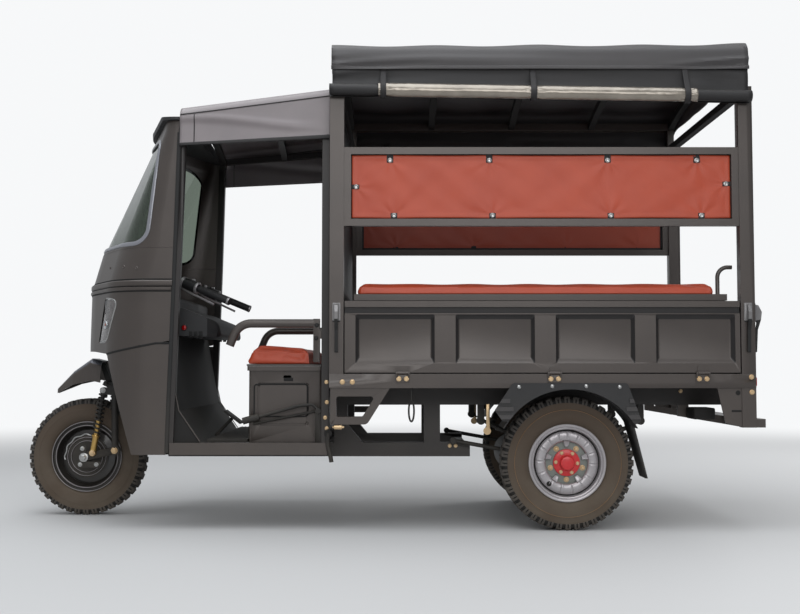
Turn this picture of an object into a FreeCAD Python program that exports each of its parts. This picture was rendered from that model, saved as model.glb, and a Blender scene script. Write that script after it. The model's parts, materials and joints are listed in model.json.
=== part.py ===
import FreeCAD, Part
import math
import os

from FreeCAD import Vector as V

os.makedirs("parts", exist_ok=True)

# An electric three-wheeler with a driver's cab, a passenger and cargo bed, two long benches
# and a tarpaulin canopy. Millimetres. The front looks along -X, the left side along -Y,
# up is +Z, and the wheels stand on Z = 0.

# Wheels and axles
WHEELBASE = 2202.0
REAR_AXLE_X = 826.0
FRONT_AXLE_X = REAR_AXLE_X - WHEELBASE
REAR_TYRE_DIA = 572.0
REAR_TYRE_W = 132.0
REAR_TRACK = 1000.0
FRONT_TYRE_DIA = 548.0
FRONT_TYRE_W = 118.0
RIM_DIA = 305.0
RIM_SHEET = 5.0
RIM_LIP = 14.0
RIM_SHARE = 0.36
REAR_AXLE_Z = REAR_TYRE_DIA / 2
FRONT_AXLE_Z = FRONT_TYRE_DIA / 2
FRONT_SPINDLE_R = 12.0
REAR_SPINDLE_R = 17.0
RUNNING = 0.05
DISC_TABS = 5
DISC_TAB_W = 24.0
NUT_CIRCLE_R = 73.0
NUT_R = 8.5
HUB_R = 58.0
HUB_OUT = 58.0
HUB_BOLTS = 6
HUB_BOLT_R = 5.5

# Steering column: its axis passes through the front axle and leans back
RAKE_DEG = 24.3
COLUMN_R = 17.0
HEAD_TUBE_R = 30.0
CROWN_Z = 590.0
BELT_Z = 1047.0
CLAMP_Z = BELT_Z + 71.0
GUARD_TOP = 738.0
GUARD_T = 4.0

# Load bed
BED_X0 = -190.0
BED_LEN = 1800.0
BED_X1 = BED_X0 + BED_LEN
BED_HALF_W = 650.0
SILL_Z = 609.0
SILL_H = 60.0
SILL_W = 45.0
DECK_T = 6.0
GATE_H = 303.0
GATE_T = 34.0
GATE_GAP = 5.0
GATE_RAIL_H = 26.0
GATE_GROOVE = 7.0
RECESS_W = 336.0
RECESS_DEEP = 20.0
RECESS_FIRST = 45.0
RECESS_LAST = 20.0
RECESS_FOOT = 38.0
RECESS_HEAD = 30.0
RECESS_END_SLOPE = 14.0
RECESS_FOOT_SLOPE = 25.0
RECESS_HEAD_SLOPE = 21.0
POST_W = 60.0
POST_D = 48.0
POST_TOP = 2010.0
POST_FULL_Z = POST_TOP - 114.0
AISLE_T = 3.0
AISLE_GAP = 14.0
STEP_X1 = 1650.0
STEP_Z = 443.0

# Benches and backrests
BENCH_X0 = -88.0
BENCH_X1 = 1507.0
BENCH_W = 340.0
BENCH_OUT = 602.0
BOARD_Z = 982.0
BOARD_T = 27.0
BENCH_CUSHION_H = 46.0
BACKREST_Z0 = 1297.0
BACKREST_Z1 = 1634.0
BACKREST_TUBE = 30.0

# Canopy
CANOPY_TOP = POST_TOP + 78.0
CANOPY_T = 10.0
CANOPY_X0 = -184.0
CANOPY_X1 = 1596.0
CANOPY_HALF_W = BED_HALF_W + CANOPY_T + 0.3
VALANCE_Z = POST_TOP - 105.0
CANOPY_END_Z = POST_TOP - 60.0
ROLL_R = 31.0
ROLL_DROP = 30.0
CURTAIN_Z0 = 989.0

# Chassis
RAIL_Y = 340.0
RAIL_W = 40.0
RAIL_H = 80.0
LOWER_RAIL_Z = 300.0
LOWER_RAIL_H = 62.0
LOWER_RAIL_X0 = -925.0
LOWER_RAIL_X1 = 420.0

# Cab
CAB_WALL = 18.0
CAB_REAR_X = -197.0
CAB_POST = 32.0
CAB_HALF_W = 560.0
FLOOR_Z = 373.0
FLOOR_T = 4.0
CAB_SILL_H = 51.0
MAT_T = 12.0
MAT_X0 = -728.0
CAB_ROOF_X0 = -846.0
CAB_ROOF_T = 7.0
CAB_ROOF_X1 = CAB_REAR_X + CAB_ROOF_T + 0.3
CAB_TOP_Z = 1772.0
CAB_ROOF_FRONT_Z = CAB_TOP_Z + 64.0
CAB_ROOF_REAR_Z = POST_TOP - 89.0
CAB_ROOF_CROWN = 34.0
HEADER_Z = CAB_TOP_Z - 44.0
DASH_LOW_Z = BELT_Z - 209.0

# Driver's seat
SEAT_X0 = -550.0
SEAT_X1 = -232.0
SEAT_HALF_W = 490.0
SEAT_BOX_TOP = 702.0
SEAT_LIP_H = 20.0
SEAT_LIP = 14.0
SEAT_WALL = 14.0
LID_T = 8.0
LID_HINGES = (-300.0, 300.0)
LID_PIN_R = 3.0
LID_KNUCKLE_R = 6.0
SEAT_CUSHION_H = 78.0
ARM_Y = 530.0
ARM_R = 18.5

SEAT_GAP = 0.3


def save(name, shape):
    shape.exportStep("parts/" + name + ".step")
    print(name, "solids", len(shape.Solids), "valid", shape.isValid())


def box(x0, x1, y0, y1, z0, z1):
    return Part.makeBox(x1 - x0, y1 - y0, z1 - z0, V(x0, y0, z0))


def join(shapes):
    body = shapes[0].multiFuse(shapes[1:]) if len(shapes) > 1 else shapes[0]
    return body.removeSplitter()


def group(shapes):
    return Part.makeCompound([solid for shape in shapes for solid in shape.Solids])


def mirrored(shape):
    return shape.mirror(V(0, 0, 0), V(0, 1, 0))


def rod(start, end, radius):
    run = end - start
    return Part.makeCylinder(radius, run.Length, start, run)


def rounded_wire(corners, place):
    """Closed outline through corners of (a, b, radius); place(a, b) puts a point in space."""
    starts, edges = [], []
    count = len(corners)
    for i in range(count):
        ax, ay = corners[i - 1][:2]
        bx, by, radius = corners[i]
        cx, cy = corners[(i + 1) % count][:2]
        la, lc = math.hypot(ax - bx, ay - by), math.hypot(cx - bx, cy - by)
        ua, uc = ((ax - bx) / la, (ay - by) / la), ((cx - bx) / lc, (cy - by) / lc)
        half = math.acos(max(-1.0, min(1.0, ua[0] * uc[0] + ua[1] * uc[1]))) / 2
        run = radius / math.tan(half)
        bisector = (ua[0] + uc[0], ua[1] + uc[1])
        scale = (radius / math.sin(half) - radius) / math.hypot(*bisector)
        first = (bx + ua[0] * run, by + ua[1] * run)
        middle = (bx + bisector[0] * scale, by + bisector[1] * scale)
        last = (bx + uc[0] * run, by + uc[1] * run)
        starts.append((radius, first, middle, last))
    for i in range(count):
        radius, first, middle, last = starts[i]
        if radius > 0:
            edges.append(Part.Arc(place(*first), place(*middle), place(*last)).toShape())
        following = starts[(i + 1) % count][1]
        if math.hypot(following[0] - last[0], following[1] - last[1]) > 1e-6:
            edges.append(Part.LineSegment(place(*last), place(*following)).toShape())
    return Part.Wire(edges)


def slab(corners, axis, low, high):
    """A flat plate: corners of (a, b, radius) in the plane across axis, from low to high."""
    if axis == "x":
        wire = rounded_wire(corners, lambda a, b: V(low, a, b))
        run = V(high - low, 0, 0)
    elif axis == "y":
        wire = rounded_wire(corners, lambda a, b: V(a, low, b))
        run = V(0, high - low, 0)
    else:
        wire = rounded_wire(corners, lambda a, b: V(a, b, low))
        run = V(0, 0, high - low)
    return Part.Face(wire).extrude(run)


def frame_of(a0, a1, b0, b1, radius):
    """Corners of a rectangle with one corner radius."""
    return [(a0, b0, radius), (a1, b0, radius), (a1, b1, radius), (a0, b1, radius)]


def bent_rod(points, radius, bend):
    """A round bar along points, each inner corner turned with one bend radius."""
    edges, at = [], points[0]
    for i in range(1, len(points) - 1):
        back, ahead = points[i - 1] - points[i], points[i + 1] - points[i]
        back.normalize()
        ahead.normalize()
        half = back.getAngle(ahead) / 2
        run = bend / math.tan(half)
        bisector = back + ahead
        bisector.normalize()
        middle = points[i] + bisector * (bend / math.sin(half) - bend)
        first, last = points[i] + back * run, points[i] + ahead * run
        edges.append(Part.LineSegment(at, first).toShape())
        edges.append(Part.Arc(first, middle, last).toShape())
        at = last
    edges.append(Part.LineSegment(at, points[-1]).toShape())
    path = Part.Wire(edges)
    ring = Part.Wire([Part.Circle(points[0], points[1] - points[0], radius).toShape()])
    return path.makePipeShell([ring], True, False)


def turned(profile, centre):
    """A ring turned about the axle line through centre, from a closed (radius, y) outline."""
    wire = rounded_wire(profile, lambda r, y: V(centre.x, centre.y + y, centre.z + r))
    return Part.Face(wire).revolve(centre, V(0, 1, 0), 360)


def around(shape, centre, count, axis=V(0, 1, 0)):
    """Copies of a shape, evenly spaced about a line through centre."""
    copies = []
    for i in range(count):
        copy = shape.copy()
        copy.rotate(centre, axis, 360.0 * i / count)
        copies.append(copy)
    return copies


def on_column(height):
    """The point of the steering axis at a height."""
    return V(FRONT_AXLE_X + (height - FRONT_AXLE_Z) * math.tan(math.radians(RAKE_DEG)), 0, height)


# Wheels

def tyre(centre, dia, width):
    """Tyre with a rounded crown, square shoulders, full sidewalls and beads on the rim."""
    outer, half = dia / 2, width / 2
    bead = RIM_DIA / 2 + SEAT_GAP
    shoulder = outer - 14
    toe = width * RIM_SHARE - SEAT_GAP
    flange = RIM_DIA / 2 + RIM_LIP + 3
    profile = [(bead, -toe, 3), (flange, -toe, 3), (bead + 50, -half, 24),
               (shoulder, -half * 0.94, 6), (outer, -half * 0.72, 10), (outer, half * 0.72, 10),
               (shoulder, half * 0.94, 6), (bead + 50, half, 24), (flange, toe, 3),
               (bead, toe, 3), (bead, half * 0.46, 0), (bead + 40, half * 0.74, 20),
               (outer - 20, half * 0.62, 16), (outer - 20, -half * 0.62, 16),
               (bead + 40, -half * 0.74, 20), (bead, -half * 0.46, 0)]
    return turned(profile, centre)


def rim(centre, width, outboard):
    """Pressed steel rim, its disc with tabs between the wheel nuts, and the bolted hub cap."""
    seat_r, half = RIM_DIA / 2, width * RIM_SHARE
    lip = seat_r + RIM_LIP
    t = RIM_SHEET
    rim_ring = turned([(lip, -half - t, 1), (lip, -half, 1), (seat_r, -half, 2),
                       (seat_r - 2, -half * 0.45, 2), (seat_r - 20, -half * 0.3, 4),
                       (seat_r - 20, half * 0.3, 4), (seat_r - 2, half * 0.45, 2),
                       (seat_r, half, 2), (lip, half, 1), (lip, half + t, 1),
                       (seat_r - t, half + t, 3), (seat_r - t - 2, half * 0.45 + t, 2),
                       (seat_r - 20 - t, half * 0.3 + t, 2),
                       (seat_r - 20 - t, -half * 0.3 - t, 2),
                       (seat_r - t - 2, -half * 0.45 - t, 2), (seat_r - t, -half - t, 3)],
                      centre)
    s = outboard
    face = 18.0
    step_r = NUT_CIRCLE_R + NUT_R + 2
    disc = turned([(REAR_SPINDLE_R + RUNNING, s * (face - 9), 0), (step_r, s * (face - 9), 3),
                   (step_r + 10, s * (face + 9), 5), (112, s * (face + 9), 6),
                   (seat_r - 22, s * (face - 16), 2), (seat_r - 22, s * (face - 9), 2),
                   (112, s * (face + 16), 6), (step_r + 10, s * (face + 16), 5),
                   (step_r, s * (face - 2), 3), (REAR_SPINDLE_R + RUNNING, s * (face - 2), 0)],
                  centre)
    valve = rod(centre + V(0, -60, -118), centre + V(0, 60, -118), 8)
    valve.rotate(centre, V(0, 1, 0), 40)
    disc = disc.cut(valve)
    y0, y1 = sorted((centre.y + s * (face - 6), centre.y + s * (face + 14)))
    tab = box(centre.x - DISC_TAB_W / 2, centre.x + DISC_TAB_W / 2, y0, y1,
              centre.z + HUB_R + 2, centre.z + step_r + 12)
    hub = turned([(REAR_SPINDLE_R + RUNNING, s * (face - 40), 0), (34, s * (face - 40), 2),
                  (34, s * (face - 12), 2), (HUB_R, s * (face - 12), 2),
                  (HUB_R, s * (face + 4), 3), (HUB_R * 0.62, s * (face + 12), 3),
                  (HUB_R * 0.54, s * HUB_OUT, 6), (0, s * HUB_OUT, 0),
                  (0, s * (HUB_OUT - 8), 0), (REAR_SPINDLE_R + RUNNING, s * (HUB_OUT - 8), 0)],
                 centre)
    nut_at = centre + V(0, s * (face - 4), NUT_CIRCLE_R)
    nut = rod(nut_at, nut_at + V(0, s * 16, 0), NUT_R)
    nut.rotate(centre, V(0, 1, 0), 180.0 / DISC_TABS)
    bolt_at = centre + V(0, s * face, HUB_R - 13)
    bolt = rod(bolt_at, bolt_at + V(0, s * 13, 0), HUB_BOLT_R)
    ring = around(tab, centre, DISC_TABS) + around(nut, centre, DISC_TABS)
    return join([rim_ring, disc, hub] + ring + around(bolt, centre, HUB_BOLTS))


def wheels():
    front = V(FRONT_AXLE_X, 0, FRONT_AXLE_Z)
    left = V(REAR_AXLE_X, -REAR_TRACK / 2, REAR_AXLE_Z)
    right = V(REAR_AXLE_X, REAR_TRACK / 2, REAR_AXLE_Z)
    save("front_tyre", tyre(front, FRONT_TYRE_DIA, FRONT_TYRE_W))
    save("rear_left_tyre", tyre(left, REAR_TYRE_DIA, REAR_TYRE_W))
    save("rear_right_tyre", tyre(right, REAR_TYRE_DIA, REAR_TYRE_W))
    save("rear_left_wheel", rim(left, REAR_TYRE_W, -1))
    save("rear_right_wheel", rim(right, REAR_TYRE_W, 1))
    save("front_wheel", rim_front(front))


def rim_front(centre):
    """Front rim: the same pressed rim with a drum on the right and a plain hub."""
    seat_r, half, t = RIM_DIA / 2, FRONT_TYRE_W * RIM_SHARE, RIM_SHEET
    lip = seat_r + RIM_LIP
    ring = turned([(lip, -half - t, 1), (lip, -half, 1), (seat_r, -half, 2),
                   (seat_r - 20, -half * 0.3, 4), (seat_r - 20, half * 0.3, 4),
                   (seat_r, half, 2), (lip, half, 1), (lip, half + t, 1),
                   (seat_r - t, half + t, 3), (seat_r - 20 - t, half * 0.3 + t, 2),
                   (seat_r - 20 - t, -half * 0.3 - t, 2), (seat_r - t, -half - t, 3)], centre)
    disc = turned([(30, -6, 0), (76, -6, 4), (92, -16, 6), (seat_r - 22, -8, 2),
                   (seat_r - 22, -1, 2), (92, -8, 6), (76, 2, 4), (30, 2, 0)], centre)
    for hole in around(rod(centre + V(0, -60, 110), centre + V(0, 60, 110), 10), centre, 8):
        disc = disc.cut(hole)
    hub = turned([(FRONT_SPINDLE_R + RUNNING, -34, 0), (32, -34, 3), (32, 10, 2), (66, 10, 3),
                  (66, 40, 3), (FRONT_SPINDLE_R + RUNNING, 40, 0)], centre)
    return join([ring, disc, hub])


# Front fork, steering and mudguard

LINK_PIVOT = V(-1226, 0, 308)
LEG_Y = 112.0
LEG_R = 16.0
BOSS_HALF = 14.0
LINK_T = 12.0
SHOCK_LOW = V(-1330, 0, 296)
SHOCK_TOP = V(-1282, 0, 588)
SHOCK_EYE_R = 15.0
SHOCK_PIN_R = 8.0
SHOCK_EYE_HALF = 12.0
SHOCK_BODY_R = 13.0


def at_y(point, y):
    return V(point.x, y, point.z)


# Mudguard over the front tyre. Columns: x, top z, half width, skirt depth
GUARD_RIBS = [(-1530, GUARD_TOP - 144, 14, 22), (-1440, GUARD_TOP - 60, 78, 64),
              (-1352, GUARD_TOP, 106, 104), (-1302, GUARD_TOP - 12, 110, 102)]


def guard_under(x):
    """Height just under the mudguard's sheet between its last two ribs."""
    (x0, z0, _, _), (x1, z1, _, _) = GUARD_RIBS[-2:]
    return z0 + (x - x0) / (x1 - x0) * (z1 - z0) - GUARD_T - SEAT_GAP


def fork():
    """Steering stem, crown, two legs, and the leading links that hold the front axle."""
    stem = rod(on_column(CROWN_Z), on_column(CLAMP_Z - 10), COLUMN_R)
    crown_at = on_column(CROWN_Z)
    crown = slab(frame_of(-62, 62, -LEG_Y - 16, LEG_Y + 16, 20), "z", 0, 18)
    crown.rotate(V(0, 0, 0), V(0, 1, 0), RAKE_DEG)
    crown.translate(crown_at)
    legs, links = [], []
    for side in (-1, 1):
        y = side * LEG_Y
        top, low = at_y(on_column(CROWN_Z + 6), y), at_y(LINK_PIVOT, y)
        legs.append(rod(top, low, LEG_R))
        legs.append(rod(at_y(LINK_PIVOT, y - BOSS_HALF), at_y(LINK_PIVOT, y + BOSS_HALF), 24))
        ear_y = side * (LEG_Y + SHOCK_EYE_HALF + SEAT_GAP)
        low_y, high_y = sorted((ear_y, ear_y + side * 6))
        ear = [(SHOCK_TOP.x - 14, SHOCK_TOP.z - 14, 12), (top.x + 6, SHOCK_TOP.z - 26, 4),
               (top.x + 14, SHOCK_TOP.z + 16, 4), (SHOCK_TOP.x - 14, SHOCK_TOP.z + 14, 12)]
        legs.append(slab(ear, "y", low_y, high_y))
        legs.append(rod(at_y(top, y), at_y(top, ear_y + side * 6), 12))
        pin = sorted((side * (LEG_Y - SHOCK_EYE_HALF), ear_y + side * 6))
        legs.append(rod(at_y(SHOCK_TOP, pin[0]), at_y(SHOCK_TOP, pin[1]), SHOCK_PIN_R))
        link_y = side * (LEG_Y - BOSS_HALF)
        outline = [(LINK_PIVOT.x + 20, LINK_PIVOT.z - 14, 14),
                   (LINK_PIVOT.x + 20, LINK_PIVOT.z + 16, 14),
                   (FRONT_AXLE_X - 24, FRONT_AXLE_Z + 22, 18),
                   (FRONT_AXLE_X - 24, FRONT_AXLE_Z - 22, 18)]
        low_y, high_y = sorted((link_y, link_y - side * LINK_T))
        links.append(slab(outline, "y", low_y, high_y))
        pin = sorted((link_y, side * (LEG_Y + SHOCK_EYE_HALF)))
        links.append(rod(at_y(SHOCK_LOW, pin[0]), at_y(SHOCK_LOW, pin[1]), SHOCK_PIN_R))
    tab = slab([(-1262, 618, 0), (-1292, 618, 6), (-1334, guard_under(-1334), 0),
                (-1312, guard_under(-1312), 0)], "y", -24, 24)
    centre = V(FRONT_AXLE_X, 0, FRONT_AXLE_Z)
    ends = LEG_Y - BOSS_HALF
    axle = rod(at_y(centre, -ends), at_y(centre, ends), FRONT_SPINDLE_R)
    left_spacer = rod(at_y(centre, -ends), at_y(centre, -34 - SEAT_GAP), 20)
    right_spacer = rod(at_y(centre, 40 + SEAT_GAP), at_y(centre, ends), 20)
    save("fork", join([stem, crown, tab, axle, left_spacer, right_spacer] + legs + links))


def front_shocks():
    """Coil over damper on each side of the fork: lower body, spring turns and both eyes."""
    units = []
    for side in (-1, 1):
        low, top = at_y(SHOCK_LOW, side * LEG_Y), at_y(SHOCK_TOP, side * LEG_Y)
        run = top - low
        length = run.Length
        run.normalize()
        pieces = [rod(low, low + run * (length * 0.5), SHOCK_BODY_R), rod(low, top, 8)]
        for i in range(8):
            at = low + run * (length * (0.32 + 0.07 * i))
            pieces.append(rod(at, at + run * 9, 23))
        for eye in (low, top):
            pieces.append(rod(eye - V(0, SHOCK_EYE_HALF, 0), eye + V(0, SHOCK_EYE_HALF, 0),
                              SHOCK_EYE_R))
        unit = join(pieces)
        for eye in (low, top):
            unit = unit.cut(rod(eye - V(0, 40, 0), eye + V(0, 40, 0), SHOCK_PIN_R + RUNNING))
        units.append(unit)
    save("front_shocks", group(units))


def handlebar():
    """Swept handlebar with its clamp, switch housings and grips."""
    centre = on_column(CLAMP_Z)
    right = [V(centre.x, 0, centre.z + 6), V(centre.x - 6, 120, centre.z + 14),
             V(-930, 236, CLAMP_Z - 14), V(-660, 335, CLAMP_Z - 126)]
    half = bent_rod(right, 11, 40)
    grip = rod(right[2] + (right[3] - right[2]) * 0.46, right[3], 17)
    housing_at = right[2] + (right[3] - right[2]) * 0.14
    housing = rod(housing_at, right[2] + (right[3] - right[2]) * 0.42, 26)
    pieces = []
    for piece in (half, grip, housing):
        pieces += [piece, mirrored(piece)]
    clamp = rod(on_column(CLAMP_Z - 10 + SEAT_GAP), on_column(CLAMP_Z + 24), 30)
    save("handlebar", join([clamp] + pieces))


def front_mudguard():
    """Beaked mudguard that turns with the fork, lofted over the tyre between ribs."""
    outer, inner = [], []
    for x, top, half, skirt in GUARD_RIBS:
        corners = [(-half, top - skirt, 0), (half, top - skirt, 0), (half * 0.8, top, half * 0.35),
                   (-half * 0.8, top, half * 0.35)]
        outer.append(rounded_wire(corners, lambda a, b, x=x: V(x, a, b)))
        h, t = half - GUARD_T, top - GUARD_T
        corners = [(-h, top - skirt - 30, 0), (h, top - skirt - 30, 0), (h * 0.8, t, h * 0.35),
                   (-h * 0.8, t, h * 0.35)]
        inner.append(rounded_wire(corners, lambda a, b, x=x: V(x, a, b)))
    shell = Part.makeLoft(outer, True, True).cut(Part.makeLoft(inner, True, True))
    save("front_mudguard", shell)


# Chassis, axle and springs

def chassis_frame():
    top = SILL_Z
    pieces = []
    for side in (-1, 1):
        y0, y1 = sorted((side * (RAIL_Y - RAIL_W / 2), side * (RAIL_Y + RAIL_W / 2)))
        low_top = LOWER_RAIL_Z + LOWER_RAIL_H
        pieces.append(box(BED_X0 + 4, BED_X1 - 60, y0, y1, top - RAIL_H, top))
        pieces.append(box(LOWER_RAIL_X0, LOWER_RAIL_X1, y0, y1, LOWER_RAIL_Z, low_top))
        for x0, x1 in ((BED_X0 + 4, BED_X0 + 64), (215, 287)):
            pieces.append(box(x0, x1, y0, y1, low_top, top - RAIL_H))
        gusset = [(-126, low_top, 0), (-60, low_top, 0), (-126, low_top + 80, 0)]
        pieces.append(slab(gusset, "y", y0, y1))
    for x0, x1, z0, z1 in ((-180, -130, 529, 579), (225, 275, 529, 579), (1100, 1140, 529, 569),
                           (1480, 1520, 529, 579), (-880, -830, 305, 345), (225, 275, 305, 345),
                           (-560, -520, 305, 345), (375, 415, 305, 345)):
        pieces.append(box(x0, x1, -RAIL_Y, RAIL_Y, z0, z1))
    head_low, head_top = on_column(CROWN_Z + 50), on_column(CROWN_Z + 270)
    pieces.append(rod(head_low, head_top, HEAD_TUBE_R))
    for side in (-1, 1):
        down = [V(head_low.x + 22, side * 6, head_low.z + 40), V(-1010, side * 110, 560),
                V(-900, side * RAIL_Y, 330)]
        pieces.append(bent_rod(down, 21, 60))
        brace = [V(head_top.x, side * 6, head_top.z - 30), V(-932, side * 200, 560),
                 V(LOWER_RAIL_X0 + 18, side * RAIL_Y, 335)]
        pieces.append(bent_rod(brace, 17, 60))
    frame = join(pieces)
    frame = frame.cut(rod(on_column(CROWN_Z + 6), on_column(CROWN_Z + 314), COLUMN_R + RUNNING))
    save("chassis_frame", frame)


def rear_axle():
    """Axle tube with drums, gear case and the electric motor that drives it."""
    x, z = REAR_AXLE_X, REAR_AXLE_Z
    drum_in = REAR_TRACK / 2 - 76
    pieces = [rod(V(x, -drum_in, z), V(x, drum_in, z), 34)]
    for side in (-1, 1):
        pieces.append(rod(V(x, side * (drum_in - 10), z), V(x, side * (drum_in + 46), z), 104))
        pieces.append(rod(V(x, side * drum_in, z), V(x, side * (REAR_TRACK / 2 + 38), z),
                          REAR_SPINDLE_R))
        pads = sorted((side * (RAIL_Y - 34), side * (RAIL_Y + 34)))
        pieces.append(box(x - 45, x + 45, pads[0], pads[1], z + 20, z + 44))
        rod_y = side * (RAIL_Y + 52)
        pieces.append(rod(V(345, rod_y, 372), V(x, rod_y, z), 9))
        pieces.append(rod(V(345, side * (RAIL_Y + RAIL_W / 2), 372), V(345, rod_y + side * 14, 372), 14))
    pieces.append(Part.makeSphere(98, V(x, 60, z)))
    pieces.append(rod(V(x, 60 - 70, z), V(x, 60 + 70, z), 104))
    pieces.append(box(x - 190, x, -6, 96, z - 58, z + 58))
    pieces.append(rod(V(x - 175, -240, z + 6), V(x - 175, 96, z + 6), 88))
    save("rear_axle", join(pieces))


def leaf_springs():
    """Two packs of curved leaves, clamped on the axle and hung from the rails."""
    packs = []
    eye_z, seat_z, reach, width = 452.0, REAR_AXLE_Z + 44.0, 350.0, 50.0
    leaf = 8.0
    for i in range(5):
        span = reach * (1 - 0.17 * i)
        z0 = seat_z + leaf * (4 - i)
        rise = (eye_z - seat_z - 4 * leaf) * (span / reach) ** 2
        x = REAR_AXLE_X
        lower = Part.Arc(V(x - span, 0, z0 + rise), V(x, 0, z0), V(x + span, 0, z0 + rise))
        upper = Part.Arc(V(x + span, 0, z0 + rise + leaf), V(x, 0, z0 + leaf),
                         V(x - span, 0, z0 + rise + leaf))
        edges = [lower.toShape(),
                 Part.LineSegment(V(x + span, 0, z0 + rise), V(x + span, 0, z0 + rise + leaf)).toShape(),
                 upper.toShape(),
                 Part.LineSegment(V(x - span, 0, z0 + rise + leaf), V(x - span, 0, z0 + rise)).toShape()]
        packs.append(Part.Face(Part.Wire(edges)).extrude(V(0, width, 0)))
    for end in (-1, 1):
        eye = V(REAR_AXLE_X + end * (reach + 6), 0, eye_z + 6)
        packs.append(rod(eye, eye + V(0, width, 0), 18))
        packs.append(box(eye.x - 14, eye.x + 14, 0, width, eye.z, SILL_Z - RAIL_H - SEAT_GAP))
    for off in (-34, 34):
        x = REAR_AXLE_X + off
        packs.append(box(x - 6, x + 6, -6, width + 6, seat_z, seat_z + 5 * leaf + 10))
    pack = join(packs)
    left, right = pack.copy(), pack.copy()
    left.translate(V(0, -RAIL_Y - width / 2, 0))
    right.translate(V(0, RAIL_Y - width / 2, 0))
    save("leaf_springs", group([left, right]))


# Load bed

SIDE_HINGES = (120.0, 760.0, 1385.0)
REAR_HINGES = (-420.0, 420.0)
KNUCKLE_HALF = 22.0
KNUCKLE_R = 7.0
HINGE_PIN_R = 4.0
HINGE_BOLT_X = 16.0
HINGE_BOLT_R = 7.5
HINGE_OUT = 9.0
HINGE_Z = SILL_Z + SILL_H + 4.0


def hinge(moving):
    """One half of a gate hinge along X, its pin line at the origin and the gate towards +Y."""
    half = KNUCKLE_HALF
    if moving:
        leaf = box(-half, half, HINGE_OUT - 4, HINGE_OUT, 0, 27)
        barrel = join([rod(V(-half, 0, 0), V(half, 0, 0), KNUCKLE_R), leaf])
        return barrel.cut(rod(V(-40, 0, 0), V(40, 0, 0), HINGE_PIN_R + RUNNING))
    pieces = [rod(V(-half - 7, 0, 0), V(half + 7, 0, 0), HINGE_PIN_R)]
    ear = [(HINGE_OUT, -24, 0), (HINGE_OUT - 5, -24, 0), (-5, -5, 3), (-5, 5, 4), (6, 5, 2),
           (6, -5, 0), (HINGE_OUT, -5, 0)]
    for x in (-half - 7, half + 1):
        pieces.append(slab(ear, "x", x, x + 6))
    plate_top = -KNUCKLE_R - 1
    pieces.append(box(-half - 7, half + 7, HINGE_OUT - 5, HINGE_OUT, -40, plate_top))
    for x in (-HINGE_BOLT_X, HINGE_BOLT_X):
        pieces.append(rod(V(x, HINGE_OUT, -25), V(x, HINGE_OUT - 10, -25), HINGE_BOLT_R))
    return join(pieces)


def side_hinge(x, side, moving):
    piece = hinge(moving)
    if side > 0:
        piece = mirrored(piece)
    piece.translate(V(x, side * (BED_HALF_W + HINGE_OUT), HINGE_Z))
    return piece


def rear_hinge(y, moving):
    piece = hinge(moving)
    piece.rotate(V(0, 0, 0), V(0, 0, 1), 90)
    piece.translate(V(BED_X1 + HINGE_OUT, y, HINGE_Z))
    return piece


def bed_deck():
    """Side sills, cross bearers and the ribbed deck plate."""
    sill_top = SILL_Z + SILL_H
    pieces = []
    inner = BED_HALF_W - SILL_W
    for side in (-1, 1):
        y0, y1 = sorted((side * inner, side * BED_HALF_W))
        pieces.append(box(BED_X0, BED_X1, y0, y1, SILL_Z, sill_top))
    deck_z = sill_top - DECK_T
    pieces.append(box(BED_X0, BED_X1, -inner, inner, deck_z, sill_top))
    for i in range(6):
        x = BED_X0 + i * (BED_LEN - 40) / 5
        pieces.append(box(x, x + 40, -inner, inner, SILL_Z, deck_z))
    half = BENCH_OUT - BENCH_W - AISLE_GAP
    pieces.append(box(BED_X0 + POST_W, BED_X1 - GATE_T - AISLE_GAP, -half, half,
                      sill_top, sill_top + AISLE_T))
    hinges = [side_hinge(x, side, False) for x in SIDE_HINGES for side in (-1, 1)]
    hinges += [rear_hinge(y, False) for y in REAR_HINGES]
    save("bed_deck", join(pieces + hinges))


def bow(x, width, y_in, spring_z, rise, depth):
    """One curved roof bow across the canopy."""
    ends = [V(x, -y_in, spring_z), V(x, y_in, spring_z)]
    crown = V(x, 0, spring_z + rise)
    up = V(0, 0, depth)
    edges = [Part.Arc(ends[0], crown, ends[1]).toShape(),
             Part.LineSegment(ends[1], ends[1] + up).toShape(),
             Part.Arc(ends[1] + up, crown + up, ends[0] + up).toShape(),
             Part.LineSegment(ends[0] + up, ends[0]).toShape()]
    return Part.Face(Part.Wire(edges)).extrude(V(width, 0, 0))


def latch():
    """Over-centre gate latch hanging on a post: its plate, hook body and long handle."""
    top = SILL_Z + SILL_H + GATE_GAP + GATE_H - 12
    handle = [(0, top, 4), (-20, top - 6, 6), (-34, top - 34, 8), (-30, top - 66, 8),
              (-16, top - 110, 20), (-11, top - 205, 4), (-5, top - 205, 0), (-8, top - 110, 20),
              (-14, top - 76, 8), (0, top - 70, 0)]
    plate = slab(frame_of(-17, 17, top - 76, top + 4, 5), "y", -4, 0)
    return join([plate, slab(handle, "x", -7, 7)])


def latches():
    """Latches on the outer face of every post and on the rear face of the rear ones."""
    placed = []
    for side in (-1, 1):
        for x in (BED_X0 + POST_W * 0.5, BED_X1 - POST_W * 0.5):
            piece = latch()
            if side > 0:
                piece = mirrored(piece)
            piece.translate(V(x, side * BED_HALF_W, 0))
            placed.append(piece)
        piece = latch()
        piece.rotate(V(0, 0, 0), V(0, 0, 1), 90)
        piece.translate(V(BED_X1, side * (BED_HALF_W - POST_D / 2), 0))
        placed.append(piece)
    return placed


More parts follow.
